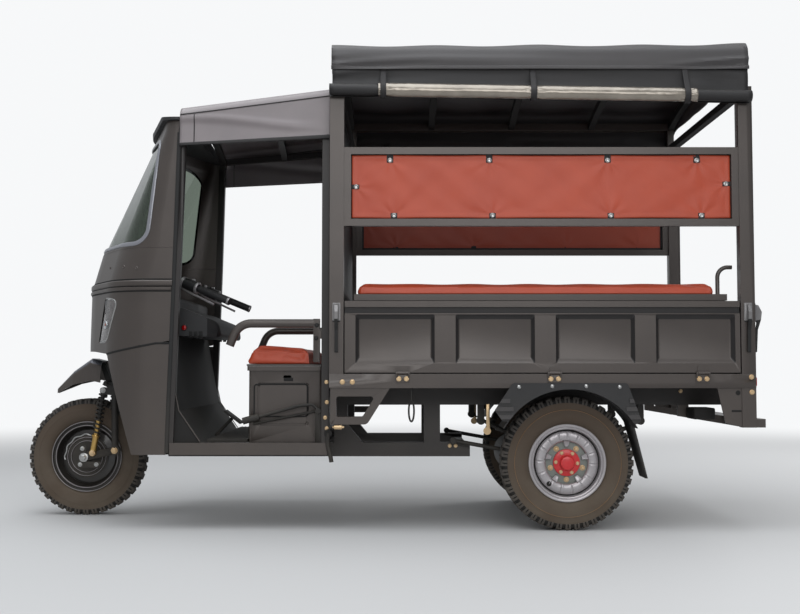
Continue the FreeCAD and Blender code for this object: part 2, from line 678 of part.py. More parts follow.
def canopy_frame():
    """Corner posts with slimmer sockets in their tops, top rails and roof bows."""
    sill_top = SILL_Z + SILL_H
    rail_low = POST_TOP - 40
    pieces = []
    y_in = BED_HALF_W - POST_D
    for side in (-1, 1):
        y0, y1 = sorted((side * y_in, side * BED_HALF_W))
        s0, s1 = sorted((side * y_in, side * BED_HALF_W))
        for x0 in (BED_X0, BED_X1 - POST_W):
            pieces.append(box(x0, x0 + POST_W, y0, y1, sill_top, POST_FULL_Z))
        rail_x0, rail_x1 = CANOPY_X0 + CANOPY_T + 2, CANOPY_X1 - CANOPY_T - 2
        pieces.append(box(rail_x0, BED_X0 + POST_W, s0, s1, POST_FULL_Z, POST_TOP))
        pieces.append(box(BED_X1 - POST_W, rail_x1, s0, s1, POST_FULL_Z, POST_TOP))
        pieces.append(box(rail_x0, rail_x1, s0, s1, rail_low, POST_TOP))
    for i in range(5):
        x = rail_x0 + i * (rail_x1 - rail_x0 - 32) / 4
        spring = POST_TOP - 36
        rise = CANOPY_TOP - CANOPY_T - SEAT_GAP - spring - 32
        pieces.append(bow(x, 32, y_in, spring, rise, 32))
    for x0 in (BED_X0 + 20, BED_X1 - 52):
        pieces.append(box(x0, x0 + 32, -y_in, y_in, POST_TOP - 150, POST_TOP - 118))
    save("canopy_frame", join(pieces + latches()))


def canopy_section(x, grow, drop):
    """Cross section of the roof sheet: side valances, tight shoulders and a low crown."""
    top, half, low = CANOPY_TOP, CANOPY_HALF_W - grow, VALANCE_Z - drop
    edge, shoulder = top - 66, top - 24 - grow
    turn = math.sqrt(0.5)
    r_y, r_z = 50.0, shoulder - edge
    points = []
    for side in (-1, 1):
        points.append([V(x, side * half, low), V(x, side * half, edge),
                       V(x, side * (half - r_y * (1 - turn)), edge + r_z * turn),
                       V(x, side * (half - r_y), shoulder)])
    left, right = points
    return Part.Wire([Part.LineSegment(left[0], left[1]).toShape(),
                      Part.Arc(left[1], left[2], left[3]).toShape(),
                      Part.Arc(left[3], V(x, 0, top - grow), right[3]).toShape(),
                      Part.Arc(right[3], right[2], right[1]).toShape(),
                      Part.LineSegment(right[1], right[0]).toShape(),
                      Part.LineSegment(right[0], left[0]).toShape()])


def canopy_tarp():
    """Roof sheet with deep valances over the bows, and the curtain behind the cab."""
    t, length = CANOPY_T, CANOPY_X1 - CANOPY_X0
    outer = Part.Face(canopy_section(CANOPY_X0, 0, 0)).extrude(V(length, 0, 0))
    inner = Part.Face(canopy_section(CANOPY_X0 + t, t, 20)).extrude(V(length - 2 * t, 0, 0))
    x_mid, y_in = BED_X0 + 36, BED_HALF_W - POST_D
    roof = outer.cut(inner)
    roof = roof.cut(box(CANOPY_X0 - 1, CANOPY_X1 + 1, -y_in, y_in, VALANCE_Z - 30, CANOPY_END_Z))
    curtain = box(x_mid - 3, x_mid + 3, -y_in + SEAT_GAP, y_in - SEAT_GAP,
                  CURTAIN_Z0, POST_TOP - 150 - SEAT_GAP)
    save("canopy_tarp", group([roof, curtain]))


def side_curtains():
    """Side curtains rolled up under the valance, one on each side."""
    rolls = []
    for side in (-1, 1):
        y = side * (BED_HALF_W + ROLL_R + SEAT_GAP)
        z = VALANCE_Z - ROLL_R - SEAT_GAP
        rolls.append(rod(V(CANOPY_X0 - 6, y, z), V(CANOPY_X1 + 2, y, z - ROLL_DROP), ROLL_R))
    save("side_curtains", group(rolls))


def backrests():
    frames, sheets = [], []
    x0, x1 = BED_X0 + POST_W, BED_X1 - POST_W
    t = BACKREST_TUBE
    for side in (-1, 1):
        y0, y1 = sorted((side * (BED_HALF_W - t - 4), side * (BED_HALF_W - 4)))
        outer = box(x0, x1, y0, y1, BACKREST_Z0, BACKREST_Z1)
        window = box(x0 + t, x1 - t, y0 - 1, y1 + 1, BACKREST_Z0 + t, BACKREST_Z1 - t)
        frames.append(outer.cut(window))
        ym = (y0 + y1) / 2
        gap = SEAT_GAP
        sheets.append(slab(frame_of(x0 + t + gap, x1 - t - gap, BACKREST_Z0 + t + gap,
                                    BACKREST_Z1 - t - gap, 12), "y", ym - 5, ym + 5))
    save("backrest_frames", group(frames))
    save("backrest_panels", group(sheets))


def benches():
    """Bench frames on legs with their boards, and the two long cushions."""
    frames, cushions = [], []
    deck = SILL_Z + SILL_H
    for side in (-1, 1):
        y0, y1 = sorted((side * (BENCH_OUT - BENCH_W), side * BENCH_OUT))
        pieces = [box(BENCH_X0, BENCH_X1, y0, y1, BOARD_Z, BOARD_Z + BOARD_T)]
        for i in range(4):
            x = BENCH_X0 + 40 + i * (BENCH_X1 - BENCH_X0 - 110) / 3
            for y in (y0 + 20, y1 - 50):
                pieces.append(box(x, x + 30, y, y + 30, deck, BOARD_Z))
        handle_y = side * (BENCH_OUT - 40)
        start = V(BENCH_X1 - 30, handle_y, BOARD_Z + BOARD_T)
        pieces.append(bent_rod([start, start + V(0, 0, 118), start + V(62, 0, 118)], 9, 44))
        frames.append(join(pieces))
        cushions.append(slab(frame_of(BENCH_X0 + 8, BENCH_X1 - 46, y0 + 4, y1 - 4, 26), "z",
                             BOARD_Z + BOARD_T + SEAT_GAP,
                             BOARD_Z + BOARD_T + BENCH_CUSHION_H))
    save("bench_frames", group(frames))
    save("bench_cushions", group(cushions))


def press_recess(panel, a0, a1, z0, z1, outer_at, inner_at):
    """Cuts one pressed recess with sloping walls between a0 and a1 of a gate panel."""
    low = z0 + RECESS_FOOT
    high = z1 - GATE_RAIL_H - RECESS_HEAD
    outer = rounded_wire(frame_of(a0, a1, low, high, 6), outer_at)
    inner = rounded_wire(frame_of(a0 + RECESS_END_SLOPE, a1 - RECESS_END_SLOPE,
                                  low + RECESS_FOOT_SLOPE, high - RECESS_HEAD_SLOPE, 6), inner_at)
    return panel.cut(Part.makeLoft([outer, inner], True, True))


def drop_side(side):
    """Side panel with a top rail over a groove, four pressed recesses and three hinge knuckles."""
    x0, x1 = BED_X0 + POST_W + GATE_GAP, BED_X1 - POST_W - GATE_GAP
    z0 = SILL_Z + SILL_H + GATE_GAP
    z1 = z0 + GATE_H
    face = BED_HALF_W
    y0, y1 = sorted((side * (face - GATE_T), side * face))
    panel = box(x0, x1, y0, y1, z0, z1)
    g0, g1 = sorted((side * (face - GATE_GROOVE), side * (face + 1)))
    panel = panel.cut(box(x0 - 1, x1 + 1, g0, g1, z1 - 2 * GATE_RAIL_H, z1 - GATE_RAIL_H))
    pitch = (x1 - x0 - RECESS_FIRST - RECESS_LAST - RECESS_W) / 3
    for i in range(4):
        rx = x0 + RECESS_FIRST + i * pitch
        panel = press_recess(panel, rx, rx + RECESS_W, z0, z1,
                             lambda a, b: V(a, side * (face + 1), b),
                             lambda a, b: V(a, side * (face - RECESS_DEEP), b))
    return join([panel] + [side_hinge(x, side, True) for x in SIDE_HINGES])


def tailgate():
    z0 = SILL_Z + SILL_H + GATE_GAP
    z1 = z0 + GATE_H
    x1 = BED_X1
    half = BED_HALF_W - POST_D - GATE_GAP
    panel = box(x1 - GATE_T, x1, -half, half, z0, z1)
    panel = panel.cut(box(x1 - GATE_GROOVE, x1 + 1, -half - 1, half + 1, z1 - 2 * GATE_RAIL_H,
                          z1 - GATE_RAIL_H))
    pitch = (2 * half - 40) / 3
    for i in range(3):
        ry = -half + RECESS_FIRST + i * pitch
        panel = press_recess(panel, ry, ry + pitch - 50, z0, z1, lambda a, b: V(x1 + 1, a, b),
                             lambda a, b: V(x1 - RECESS_DEEP, a, b))
    return join([panel] + [rear_hinge(y, True) for y in REAR_HINGES])


def wheel_guards():
    """Ribbed plates outside the rear wheels, the arches over them and the mud flaps."""
    guards = []
    for side in (-1, 1):
        y_in, y_out = BED_HALF_W, BED_HALF_W + 5
        cx, cz = REAR_AXLE_X, REAR_AXLE_Z
        plate = [(507, 516, 4), (584, 630, 18), (1067, 630, 18), (1124, 470, 4), (1088, 450, 4),
                 (540, 470, 4)]
        y0, y1 = sorted((side * y_in, side * y_out))
        flat = slab(plate, "y", y0, y1)
        arch_r = REAR_TYRE_DIA / 2 + 32
        flat = flat.cut(rod(V(cx, y0 - 5, cz), V(cx, y1 + 5, cz), arch_r))
        flat = flat.cut(box(480, 1150, y0 - 5, y1 + 5, 400, 450))
        a0, a1 = sorted((side * 420, side * y_out))
        ring = Part.makeCylinder(arch_r + 4, a1 - a0, V(cx, a0, cz), V(0, 1, 0))
        ring = ring.cut(Part.makeCylinder(arch_r, a1 - a0, V(cx, a0, cz), V(0, 1, 0)))
        ring = ring.common(box(480, 1180, a0, a1, 440, 608))
        flap = slab([(1082, 486, 0), (1100, 490, 0), (1166, 223, 0), (1156, 223, 0)], "y",
                    min(side * 440, side * 570), max(side * 440, side * 570))
        r0, r1 = sorted((side * y_out, side * (y_out + 4)))
        raised = slab(plate, "y", r0, r1).cut(rod(V(cx, r0 - 5, cz), V(cx, r1 + 5, cz), arch_r))
        ribs = []
        for i in range(3):
            z0 = 478 + 34 * i
            for x0, x1 in ((480, 600 - 14 * i), (1046 + 14 * i, 1150)):
                ribs.append(raised.common(box(x0, x1, r0, r1, z0, z0 + 18)))
        guards.append(join([flat, ring, flap] + ribs))
    save("wheel_guards", group(guards))


def rear_step():
    """Step plate across the back, hung from the rear corners of the bed on plates and arms."""
    z0 = STEP_Z
    pieces = [box(1560, STEP_X1, -BED_HALF_W + 10, BED_HALF_W - 10, z0, z0 + 36)]
    for side in (-1, 1):
        y0, y1 = sorted((side * (BED_HALF_W - POST_D), side * (BED_HALF_W - 2)))
        pieces.append(box(BED_X1 - POST_W, BED_X1, y0, y1, z0, SILL_Z))
        gusset = [(1447, SILL_Z, 0), (1560, SILL_Z, 0), (1560, z0, 0), (1480, z0 + 20, 0)]
        g0, g1 = sorted((side * (BED_HALF_W - 14), side * (BED_HALF_W - 6)))
        pieces.append(slab(gusset, "y", g0, g1))
        arm = [(1352, 478, 0), (1352, 505, 0), (1560, z0 + 36, 0), (1560, z0, 0)]
        a0, a1 = sorted((side * 330, side * 350))
        pieces.append(slab(arm, "y", a0, a1))
        pieces.append(box(1352, 1400, a0, a1, 478, SILL_Z - RAIL_H))
    return join(pieces)


def tail_lamps():
    lamps = []
    for side in (-1, 1):
        y0, y1 = sorted((side * 460, side * 590))
        lamps.append(slab(frame_of(y0, y1, SILL_Z + 6, SILL_Z + SILL_H - 14, 10), "x",
                          BED_X1 + SEAT_GAP, BED_X1 + 22))
    save("tail_lamps", group(lamps))


def foot_steps():
    """Pressed step frames with a trapezoid window below the front of the bed."""
    steps = []
    for side in (-1, 1):
        y0, y1 = sorted((side * (BED_HALF_W - 60), side * (BED_HALF_W - 4)))
        outer = slab([(-185, 456, 6), (-30, 456, 24), (66, SILL_Z - SEAT_GAP, 0),
                      (-185, SILL_Z - SEAT_GAP, 0)], "y", y0, y1)
        window = slab([(-160, 488, 10), (-50, 488, 12), (4, 574, 10), (-160, 574, 10)],
                      "y", y0 - 1, y1 + 1)
        steps.append(outer.cut(window))
    return steps


# Cab

# Plan sections of the cab body. Columns: z, front x, shoulder slope in degrees,
# bow radius, half width, corner radius, rear x
CAB_SECTIONS = {
    "foot": (322, -1357, 31, 584, 560, 240, -897),
    "brow": (BELT_Z - 247, -1357, 31, 584, 560, 240, -882),
    "belt": (BELT_Z, -1352, 31, 584, 562, 240, -874),
    "scuttle": (BELT_Z + 167, -1304, 31, 584, 560, 240, -869),
    "header": (HEADER_Z, -1070, 20, 584, 548, 60, -855),
    "top": (CAB_TOP_Z, -1052, 18, 584, 544, 55, -850),
}


def plan_wire(name, inset, back=0.0, lift=0.0):
    """Closed plan outline of one cab section, moved in by inset; back moves its rear edge."""
    z, front, slope, bow, half, corner, rear = CAB_SECTIONS[name]
    angle = math.radians(slope)
    bow_r = bow - inset
    apex = front + inset - bow_r * (1 / math.cos(angle) - 1)
    half_w = half - inset
    corner_x = apex + half_w * math.tan(angle)
    corners = [(rear + back, half_w, 0), (corner_x, half_w, corner - inset), (apex, 0, bow_r),
               (corner_x, -half_w, corner - inset), (rear + back, -half_w, 0)]
    return rounded_wire(corners, lambda a, b: V(a, b, z + lift))


def cab_loft(names, inset, back=0.0):
    return Part.makeLoft([plan_wire(name, inset, back) for name in names], True, True)


def cab_shell(names, wall=CAB_WALL):
    """Hollow wall through the named sections, open at the back, top and bottom."""
    return cab_loft(names, 0).cut(cab_loft(names, wall, 60.0))


# Lower edge of the lamp panel in the side view. Columns: x, drop below the belt
LIP_LINE = [(-1500, 271), (-1274, 281), (-1180, 292), (-700, 201)]


def half_space(above, shift):
    """Prism that fills the space above or below the lip line of the lamp panel."""
    z_far = 2200.0 if above else 0.0
    lip = [(x, BELT_Z - drop + shift, 0) for x, drop in LIP_LINE]
    corners = lip + [(-700, z_far, 0), (-1500, z_far, 0)]
    return slab(corners, "y", -700, 700)


# Windscreen outline in the side view: the glass wraps round both front corners.
# Columns: x, z, corner radius, the way in from that edge
WINDOW = [(-1500, BELT_Z + 185, 0, 1), (-988, BELT_Z + 185, 75, 1),
          (-934, HEADER_Z - 12, 55, -1), (-1500, HEADER_Z - 12, 0, -1)]


def window_prism(inset):
    """The windscreen opening, as a bar right across the cab."""
    corners = [(x - inset, z + way * inset, radius) for x, z, radius, way in WINDOW]
    return slab(corners, "y", -700, 700)


def cab_body():
    fairing = cab_shell(("foot", "brow")).common(half_space(False, 0))
    foot, lip, far = CAB_SECTIONS["foot"][0], BELT_Z - LIP_LINE[2][1], BELT_Z - 147
    edge = [(-1190, far, 0), (-1180, lip, 0), (-1044, foot, 0), (-800, foot, 0), (-800, far, 0)]
    fairing = fairing.common(slab(edge, "y", -700, 700))
    save("lower_fairings", group([fairing]))
    lamp_panel = cab_loft(("foot", "brow", "belt"), 0).cut(
        cab_loft(("foot", "brow", "belt"), CAB_WALL, 60.0)).common(half_space(True, 0))
    pods = headlight_pods()
    lamp_panel = lamp_panel.cut(pods)
    save("headlight_panel", group([lamp_panel]))
    save("headlights", headlight_lenses())
    band = cab_shell(("belt", "scuttle"))
    save("nose_panel", group([band]))
    surround = cab_shell(("scuttle", "header", "top")).cut(window_prism(0))
    save("screen_surround", group([surround]))
    names = ("scuttle", "header", "top")
    glass = cab_loft(names, 6).cut(cab_loft(names, 12, 60.0)).common(window_prism(SEAT_GAP))
    save("windscreen", group([glass]))


# Headlight outline in the side view. Columns: x, z, corner radius
LAMP = [(-1245, BELT_Z - 241, 12), (-1180, BELT_Z - 241, 30), (-1120, BELT_Z - 57, 24),
        (-1200, BELT_Z - 43, 20)]


def lamp_prism(side, inset):
    low, high = sorted((side * 330, side * 600))
    cx = sum(x for x, z, r in LAMP) / 4
    cz = sum(z for x, z, r in LAMP) / 4
    corners = []
    for x, z, r in LAMP:
        corners.append((x - math.copysign(inset, x - cx), z - math.copysign(inset, z - cz), r))
    return slab(corners, "y", low, high)


def headlight_pods():
    return group([lamp_prism(-1, 0), lamp_prism(1, 0)])


def headlight_lenses():
    names = ("foot", "brow", "belt")
    skin = cab_loft(names, 1).cut(cab_loft(names, CAB_WALL - 2, 60.0))
    return group([skin.common(lamp_prism(-1, SEAT_GAP)), skin.common(lamp_prism(1, SEAT_GAP))])


VISOR_OUT = 20.0
VISOR_H = 62.0


def visor():
    """Crowned peak over the windscreen, closing the top of the cab front."""
    low = plan_wire("top", -VISOR_OUT, 0, SEAT_GAP)
    brim = plan_wire("top", -VISOR_OUT, 0, VISOR_H * 0.4)
    upper = plan_wire("top", VISOR_OUT, 0, VISOR_H)
    cap = Part.makeLoft([low, brim, upper], True, True)
    half, z0 = CAB_SECTIONS["top"][4] + VISOR_OUT, CAB_TOP_Z
    points = [V(-1200, -half - 1, z0 + 12), V(-1200, 0, z0 + VISOR_H), V(-1200, half + 1, z0 + 12)]
    edges = [Part.Arc(*points).toShape(),
             Part.LineSegment(points[2], points[2] - V(0, 0, 60)).toShape(),
             Part.LineSegment(points[2] - V(0, 0, 60), points[0] - V(0, 0, 60)).toShape(),
             Part.LineSegment(points[0] - V(0, 0, 60), points[0]).toShape()]
    crown = Part.Face(Part.Wire(edges)).extrude(V(400, 0, 0))
    save("visor", cap.common(crown))


def cab_roof_edge(x):
    """Height of the cab roof's shoulder line, which climbs from the visor to the bed."""
    share = (x - CAB_ROOF_X0) / (CAB_ROOF_X1 - CAB_ROOF_X0)
    return CAB_ROOF_FRONT_Z + share * (CAB_ROOF_REAR_Z - CAB_ROOF_FRONT_Z)


def cab_frame():
    """Front pillars behind the body panels, rear posts, roof side rails and bows."""
    pieces = []
    p, w = CAB_POST, CAB_HALF_W
    rail_front, rail_rear, rail_h = CAB_ROOF_FRONT_Z - 70, CAB_ROOF_REAR_Z - 103, 30.0
    foot_z, brow_z = CAB_SECTIONS["foot"][0], CAB_SECTIONS["brow"][0]
    for side in (-1, 1):
        y0, y1 = sorted((side * (w - p), side * w))
        pieces.append(box(CAB_REAR_X - p, CAB_REAR_X, y0, y1, FLOOR_Z, rail_rear + rail_h))
        r0, r1 = sorted((side * (w - 20 - p), side * (w - 20)))
        rail = slab([(CAB_ROOF_X0, rail_front, 0), (CAB_REAR_X, rail_rear, 0),
                     (CAB_REAR_X, rail_rear + rail_h, 0), (CAB_ROOF_X0, rail_front + rail_h, 0)],
                    "y", r0, r1)
        pieces.append(rail)
        rings = []
        for z, front, slope, bow_r, half, corner, rear in CAB_SECTIONS.values():
            x0 = rear + SEAT_GAP
            a, b = side * (half - p), side * half
            if z == foot_z:
                z, share = FLOOR_Z, (FLOOR_Z - foot_z) / (brow_z - foot_z)
                x0 += share * (CAB_SECTIONS["brow"][6] - rear)
            level = min(z, rail_front + 10)
            rings.append(Part.makePolygon([V(x0, a, level), V(x0 + p, a, level),
                                           V(x0 + p, b, level), V(x0, b, level), V(x0, a, level)]))
        pieces.append(Part.makeLoft(rings, True, True))
    y_in = w - 20 - p
    for x in (CAB_ROOF_X0, (CAB_ROOF_X0 + CAB_REAR_X) / 2, CAB_REAR_X - p):
        share = (x - CAB_ROOF_X0) / (CAB_REAR_X - CAB_ROOF_X0)
        spring = rail_front + share * (rail_rear - rail_front)
        top = cab_roof_edge(x) + CAB_ROOF_CROWN - CAB_ROOF_T - SEAT_GAP
        pieces.append(bow(x, p, y_in, spring, top - 24 - spring, 24))
    pieces.append(box(CAB_REAR_X - p, CAB_REAR_X, -w, w, rail_rear - 128, rail_rear - 98))
    save("cab_frame", join(pieces))


def cab_roof_section(x, low, grow):
    """Cross section of the cab's tarpaulin, smaller all round by grow."""
    top, h = cab_roof_edge(x) - grow, CAB_HALF_W + CAB_ROOF_T + SEAT_GAP + 6 - grow
    left = [V(x, -h, low), V(x, -h + 6, top - 60), V(x, -h + 22, top - 24), V(x, -h + 70, top - 8)]
    right = [V(x, -p.y, p.z) for p in left]
    crown = V(x, 0, top + CAB_ROOF_CROWN)
    return Part.Wire([Part.LineSegment(left[0], left[1]).toShape(),
                      Part.Arc(left[1], left[2], left[3]).toShape(),
                      Part.Arc(left[3], crown, right[3]).toShape(),
                      Part.Arc(right[3], right[2], right[1]).toShape(),
                      Part.LineSegment(right[1], right[0]).toShape(),
                      Part.LineSegment(right[0], left[0]).toShape()])


def cab_roof():
    """Tarpaulin over the cab: crowned top with side and rear valances, open below."""
    x0, x1, t = CAB_ROOF_X0, CAB_ROOF_X1, CAB_ROOF_T
    low0, low1 = CAB_ROOF_FRONT_Z - 181, CAB_ROOF_REAR_Z - 234
    outer = Part.makeLoft([cab_roof_section(x0, low0, 0), cab_roof_section(x1, low1, 0)],
                          True, True)
    inner = Part.makeLoft([cab_roof_section(x0 - 12, low0 - 30, t),
                           cab_roof_section(x1 - t, low1 - 30, t)], True, True)
    save("cab_roof_tarp", outer.cut(inner))


def cab_floor():
    """Floor pan with side sills, toe board and knee panel in one folded sheet."""
    pieces = []
    for side in (-1, 1):
        y0, y1 = sorted((side * 520, side * 560))
        pieces.append(box(-880, BED_X0 - 14, y0, y1, FLOOR_Z - CAB_SILL_H, FLOOR_Z))
    pieces.append(box(-880, BED_X0 - 14, -520, 520, FLOOR_Z - FLOOR_T, FLOOR_Z))
    for x in (-860, -700, -400, -250):
        pieces.append(box(x, x + 30, -520, 520, LOWER_RAIL_Z + LOWER_RAIL_H, FLOOR_Z - FLOOR_T))
    toe_top = DASH_LOW_Z - SEAT_GAP
    sheet = [(-750, FLOOR_Z, 0), (-845, 510, 0), (-903, toe_top, 0), (-909, toe_top, 0),
             (-851, 508, 0), (-762, FLOOR_Z, 0)]
    pieces.append(slab(sheet, "y", -508, 508))
    floor = join(pieces)
    save("cab_floor", floor)
    mat = box(MAT_X0, SEAT_X0 - 4, -500, 500, FLOOR_Z + SEAT_GAP, FLOOR_Z + MAT_T)
    save("floor_mat", mat)


def dashboard():
    """Moulded cowl under the windscreen with the rounded instrument pod in front of it."""
    b = BELT_Z
    shelf = slab([(-1240, b + 73, 0), (-905, b - 37, 20), (-905, b - 191, 0), (-925, b - 191, 0),
                  (-925, b - 62, 20), (-1240, b + 48, 0)], "y", -490, 490)
    pod = slab([(-905, b - 87, 0), (-860, b - 87, 50), (-712, b - 147, 40),
                (-700, DASH_LOW_Z - 8, 16), (-905, DASH_LOW_Z, 0)], "y", -400, 400)
    plan = slab([(-1300, -500, 0), (-800, -500, 0), (-700, -300, 90), (-700, 300, 90),
                 (-800, 500, 0), (-1300, 500, 0)], "z", b - 347, b + 253)
    room = cab_loft(("foot", "brow", "belt", "scuttle"), CAB_WALL + SEAT_GAP, 300.0)
    body = join([shelf, pod]).common(plan).common(room)
    slot_low, slot_high = on_column(700), on_column(1300)
    body = body.cut(rod(slot_low, slot_high, 46))
    save("dashboard", body)


def lid_hinge(y, moving):
    """One half of a seat lid hinge: the lid's knuckle, or the box's pin between two ears."""
    at = V(SEAT_X1 + LID_KNUCKLE_R + 1, y, SEAT_BOX_TOP + SEAT_GAP + LID_T / 2)
    half = KNUCKLE_HALF
    if moving:
        knuckle = rod(at - V(0, half, 0), at + V(0, half, 0), LID_KNUCKLE_R)
        leaf = box(SEAT_X1 - 4, at.x, y - half, y + half, at.z - LID_T / 2, at.z + LID_T / 2)
        pin_hole = rod(at - V(0, 40, 0), at + V(0, 40, 0), LID_PIN_R + RUNNING)
        return join([knuckle, leaf]).cut(pin_hole)
    pieces = [rod(at - V(0, half + 7, 0), at + V(0, half + 7, 0), LID_PIN_R)]
    web = [(SEAT_X1, at.z - 22, 0), (at.x, at.z - 14, 0), (at.x + 5, at.z - 3, 0),
           (at.x + 5, at.z, 0), (SEAT_X1, at.z - LID_T, 0)]
    for y0 in (y - half - 7, y + half + 1):
        pieces.append(rod(V(at.x, y0, at.z), V(at.x, y0 + 6, at.z), LID_KNUCKLE_R))
        pieces.append(slab(web, "y", y0, y0 + 6))
    return join(pieces)


def seat_box():
    """Hollow seat box with a rolled lip, recessed end panels and vents, open at the top."""
    w, h, top = SEAT_WALL, SEAT_HALF_W, SEAT_BOX_TOP
    outer = slab(frame_of(SEAT_X0, SEAT_X1, -h, h, 12), "z", FLOOR_Z, top)
    lip = slab(frame_of(SEAT_X0 - 6, SEAT_X1, -h - SEAT_LIP, h + SEAT_LIP, 8), "z",
               top - SEAT_LIP_H, top)
    inner = box(SEAT_X0 + w, SEAT_X1 - w, -h + w, h - w, FLOOR_Z + w, top + 1)
    body = join([outer, lip]).cut(inner)
    for side in (-1, 1):
        y0, y1 = sorted((side * (h - 5), side * (h + 1)))
        recess = slab(frame_of(SEAT_X0 + 36, SEAT_X1 - 56, FLOOR_Z + 70, top - 72, 14),
                      "y", y0, y1)
        land = slab(frame_of(SEAT_X0 + 46, SEAT_X1 - 66, FLOOR_Z + 80, top - 82, 10),
                    "y", y0, y1)
        body = body.cut(recess.cut(land))
        v0, v1 = sorted((side * (h - w - 1), side * (h + 1)))
        vent = slab(frame_of(SEAT_X0 + 150, SEAT_X0 + 185, top - 56, top - 40, 7), "y", v0, v1)
        body = body.cut(vent)
    save("seat_box", join([body] + [lid_hinge(y, False) for y in LID_HINGES]))
    lid_z = top + SEAT_GAP
    lid = box(SEAT_X0 - 10, SEAT_X1 - 4, -h, h, lid_z, lid_z + LID_T)
    save("seat_lid", join([lid] + [lid_hinge(y, True) for y in LID_HINGES]))
    pad_z = lid_z + LID_T + SEAT_GAP
    profile = [(SEAT_X0 - 24, pad_z, 16), (SEAT_X1 - 46, pad_z, 8),
               (SEAT_X1 - 46, pad_z + SEAT_CUSHION_H - 14, 16),
               (SEAT_X0 + 6, pad_z + SEAT_CUSHION_H, 30)]
    save("seat_cushion", slab(profile, "y", -h + 4, h - 4))
    save("battery_pack", box(SEAT_X0 + 34, SEAT_X1 - 34, -320, 320, FLOOR_Z + w + SEAT_GAP,
                             top - 60))


def armrests():
    """Bent tube armrests, each bolted through a flat upright to the cab's rear post."""
    arms = []
    for side in (-1, 1):
        y = side * ARM_Y
        path = [V(-628, y, 790), V(-590, y, 886), V(-262, y, 886)]
        tube = bent_rod(path, ARM_R, 80)
        y0, y1 = sorted((y - side * 14, y + side * 14))
        upright = box(-266, -238, y0, y1, SEAT_BOX_TOP + LID_T + 8, 906)
        link = box(-238, CAB_REAR_X - CAB_POST, y0, y1, 820, 860)
        arms.append(join([tube, upright, link]))
    save("armrests", group(arms))


def controls():
    """Parking brake and gear levers beside the seat, and the foot brake pedal."""
    y = -SEAT_HALF_W - 34
    x1 = CAB_REAR_X - CAB_POST
    lever = bent_rod([V(-556, y, 468), V(-330, y, 530), V(-268, y, 536), V(-244, y, 512)], 7, 20)
    grip = rod(V(-570, y, 464), V(-500, y, 483), 15)
    second = rod(V(-528, y + 18, 452), V(-250, y + 18, 508), 6)
    hub = rod(V(-244, y - 14, 508), V(-244, y + 26, 508), 13)
    bracket = box(-257, x1, y - 10, y + 22, FLOOR_Z, 512)
    hand = join([lever, grip, second, hub, bracket])
    pedal_arm = rod(V(-752, -130, 380), V(-668, -130, 466), 7)
    pad = slab([(-705, 498, 2), (-628, 440, 2), (-634, 432, 2), (-711, 490, 2)], "y", -170, -90)
    pedal_foot = box(-748, -732, -142, -118, FLOOR_Z + SEAT_GAP, FLOOR_Z + 22)
    foot = join([pedal_arm, pad, pedal_foot])
    save("controls", group([hand, foot]))


wheels()
fork()
front_shocks()
handlebar()
front_mudguard()
chassis_frame()
rear_axle()
leaf_springs()
bed_deck()
canopy_frame()
canopy_tarp()
side_curtains()
backrests()
benches()
save("left_drop_side", drop_side(-1))
save("right_drop_side", drop_side(1))
save("tailgate", tailgate())
wheel_guards()
save("steps", group([rear_step()] + foot_steps()))
tail_lamps()
cab_body()
visor()
cab_frame()
cab_roof()
cab_floor()
dashboard()
seat_box()
armrests()
controls()
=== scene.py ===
# %% [markdown]
# # Auto rickshaw with a covered load bed
# The real object is a three-wheeler: a glazed cab in front, and behind it a bed with benches under a
# tarpaulin. Its steel is already built as solids. This lesson loads them as a fixed frame, gives every
# surface its finish, and models what is soft, moulded or too fine for the solids.

# %% Load the frame
import json
import math

import bmesh
import bpy
from mathutils import Matrix, Vector, noise
from mathutils.bvhtree import BVHTree

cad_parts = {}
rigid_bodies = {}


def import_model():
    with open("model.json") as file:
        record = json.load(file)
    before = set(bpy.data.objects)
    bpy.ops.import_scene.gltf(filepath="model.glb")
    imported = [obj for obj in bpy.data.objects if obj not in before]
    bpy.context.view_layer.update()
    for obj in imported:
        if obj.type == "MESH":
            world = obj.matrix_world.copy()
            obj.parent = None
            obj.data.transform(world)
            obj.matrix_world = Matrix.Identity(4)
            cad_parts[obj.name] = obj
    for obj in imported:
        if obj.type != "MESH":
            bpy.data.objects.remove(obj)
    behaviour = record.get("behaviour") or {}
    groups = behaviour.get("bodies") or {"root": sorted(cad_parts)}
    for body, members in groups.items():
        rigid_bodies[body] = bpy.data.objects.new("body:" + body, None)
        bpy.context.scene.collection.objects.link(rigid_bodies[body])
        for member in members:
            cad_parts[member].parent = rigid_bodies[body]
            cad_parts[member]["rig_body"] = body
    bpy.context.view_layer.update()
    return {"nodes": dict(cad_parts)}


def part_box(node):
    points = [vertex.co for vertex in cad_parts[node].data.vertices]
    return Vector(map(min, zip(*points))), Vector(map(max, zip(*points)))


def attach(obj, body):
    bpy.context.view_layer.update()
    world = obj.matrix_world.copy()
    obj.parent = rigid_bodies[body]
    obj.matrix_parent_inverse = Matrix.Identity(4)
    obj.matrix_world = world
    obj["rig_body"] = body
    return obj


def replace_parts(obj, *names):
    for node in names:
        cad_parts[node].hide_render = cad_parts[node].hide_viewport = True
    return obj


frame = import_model()
nodes = frame["nodes"]

# %% [markdown]
# ## Camera
# A product photo is matched by its camera first. The picture was taken level with the sills, a little
# ahead of the rear wheel and about five metres away, tilted up by three degrees. A lens in millimetres
# means nothing without its sensor, so both are set.

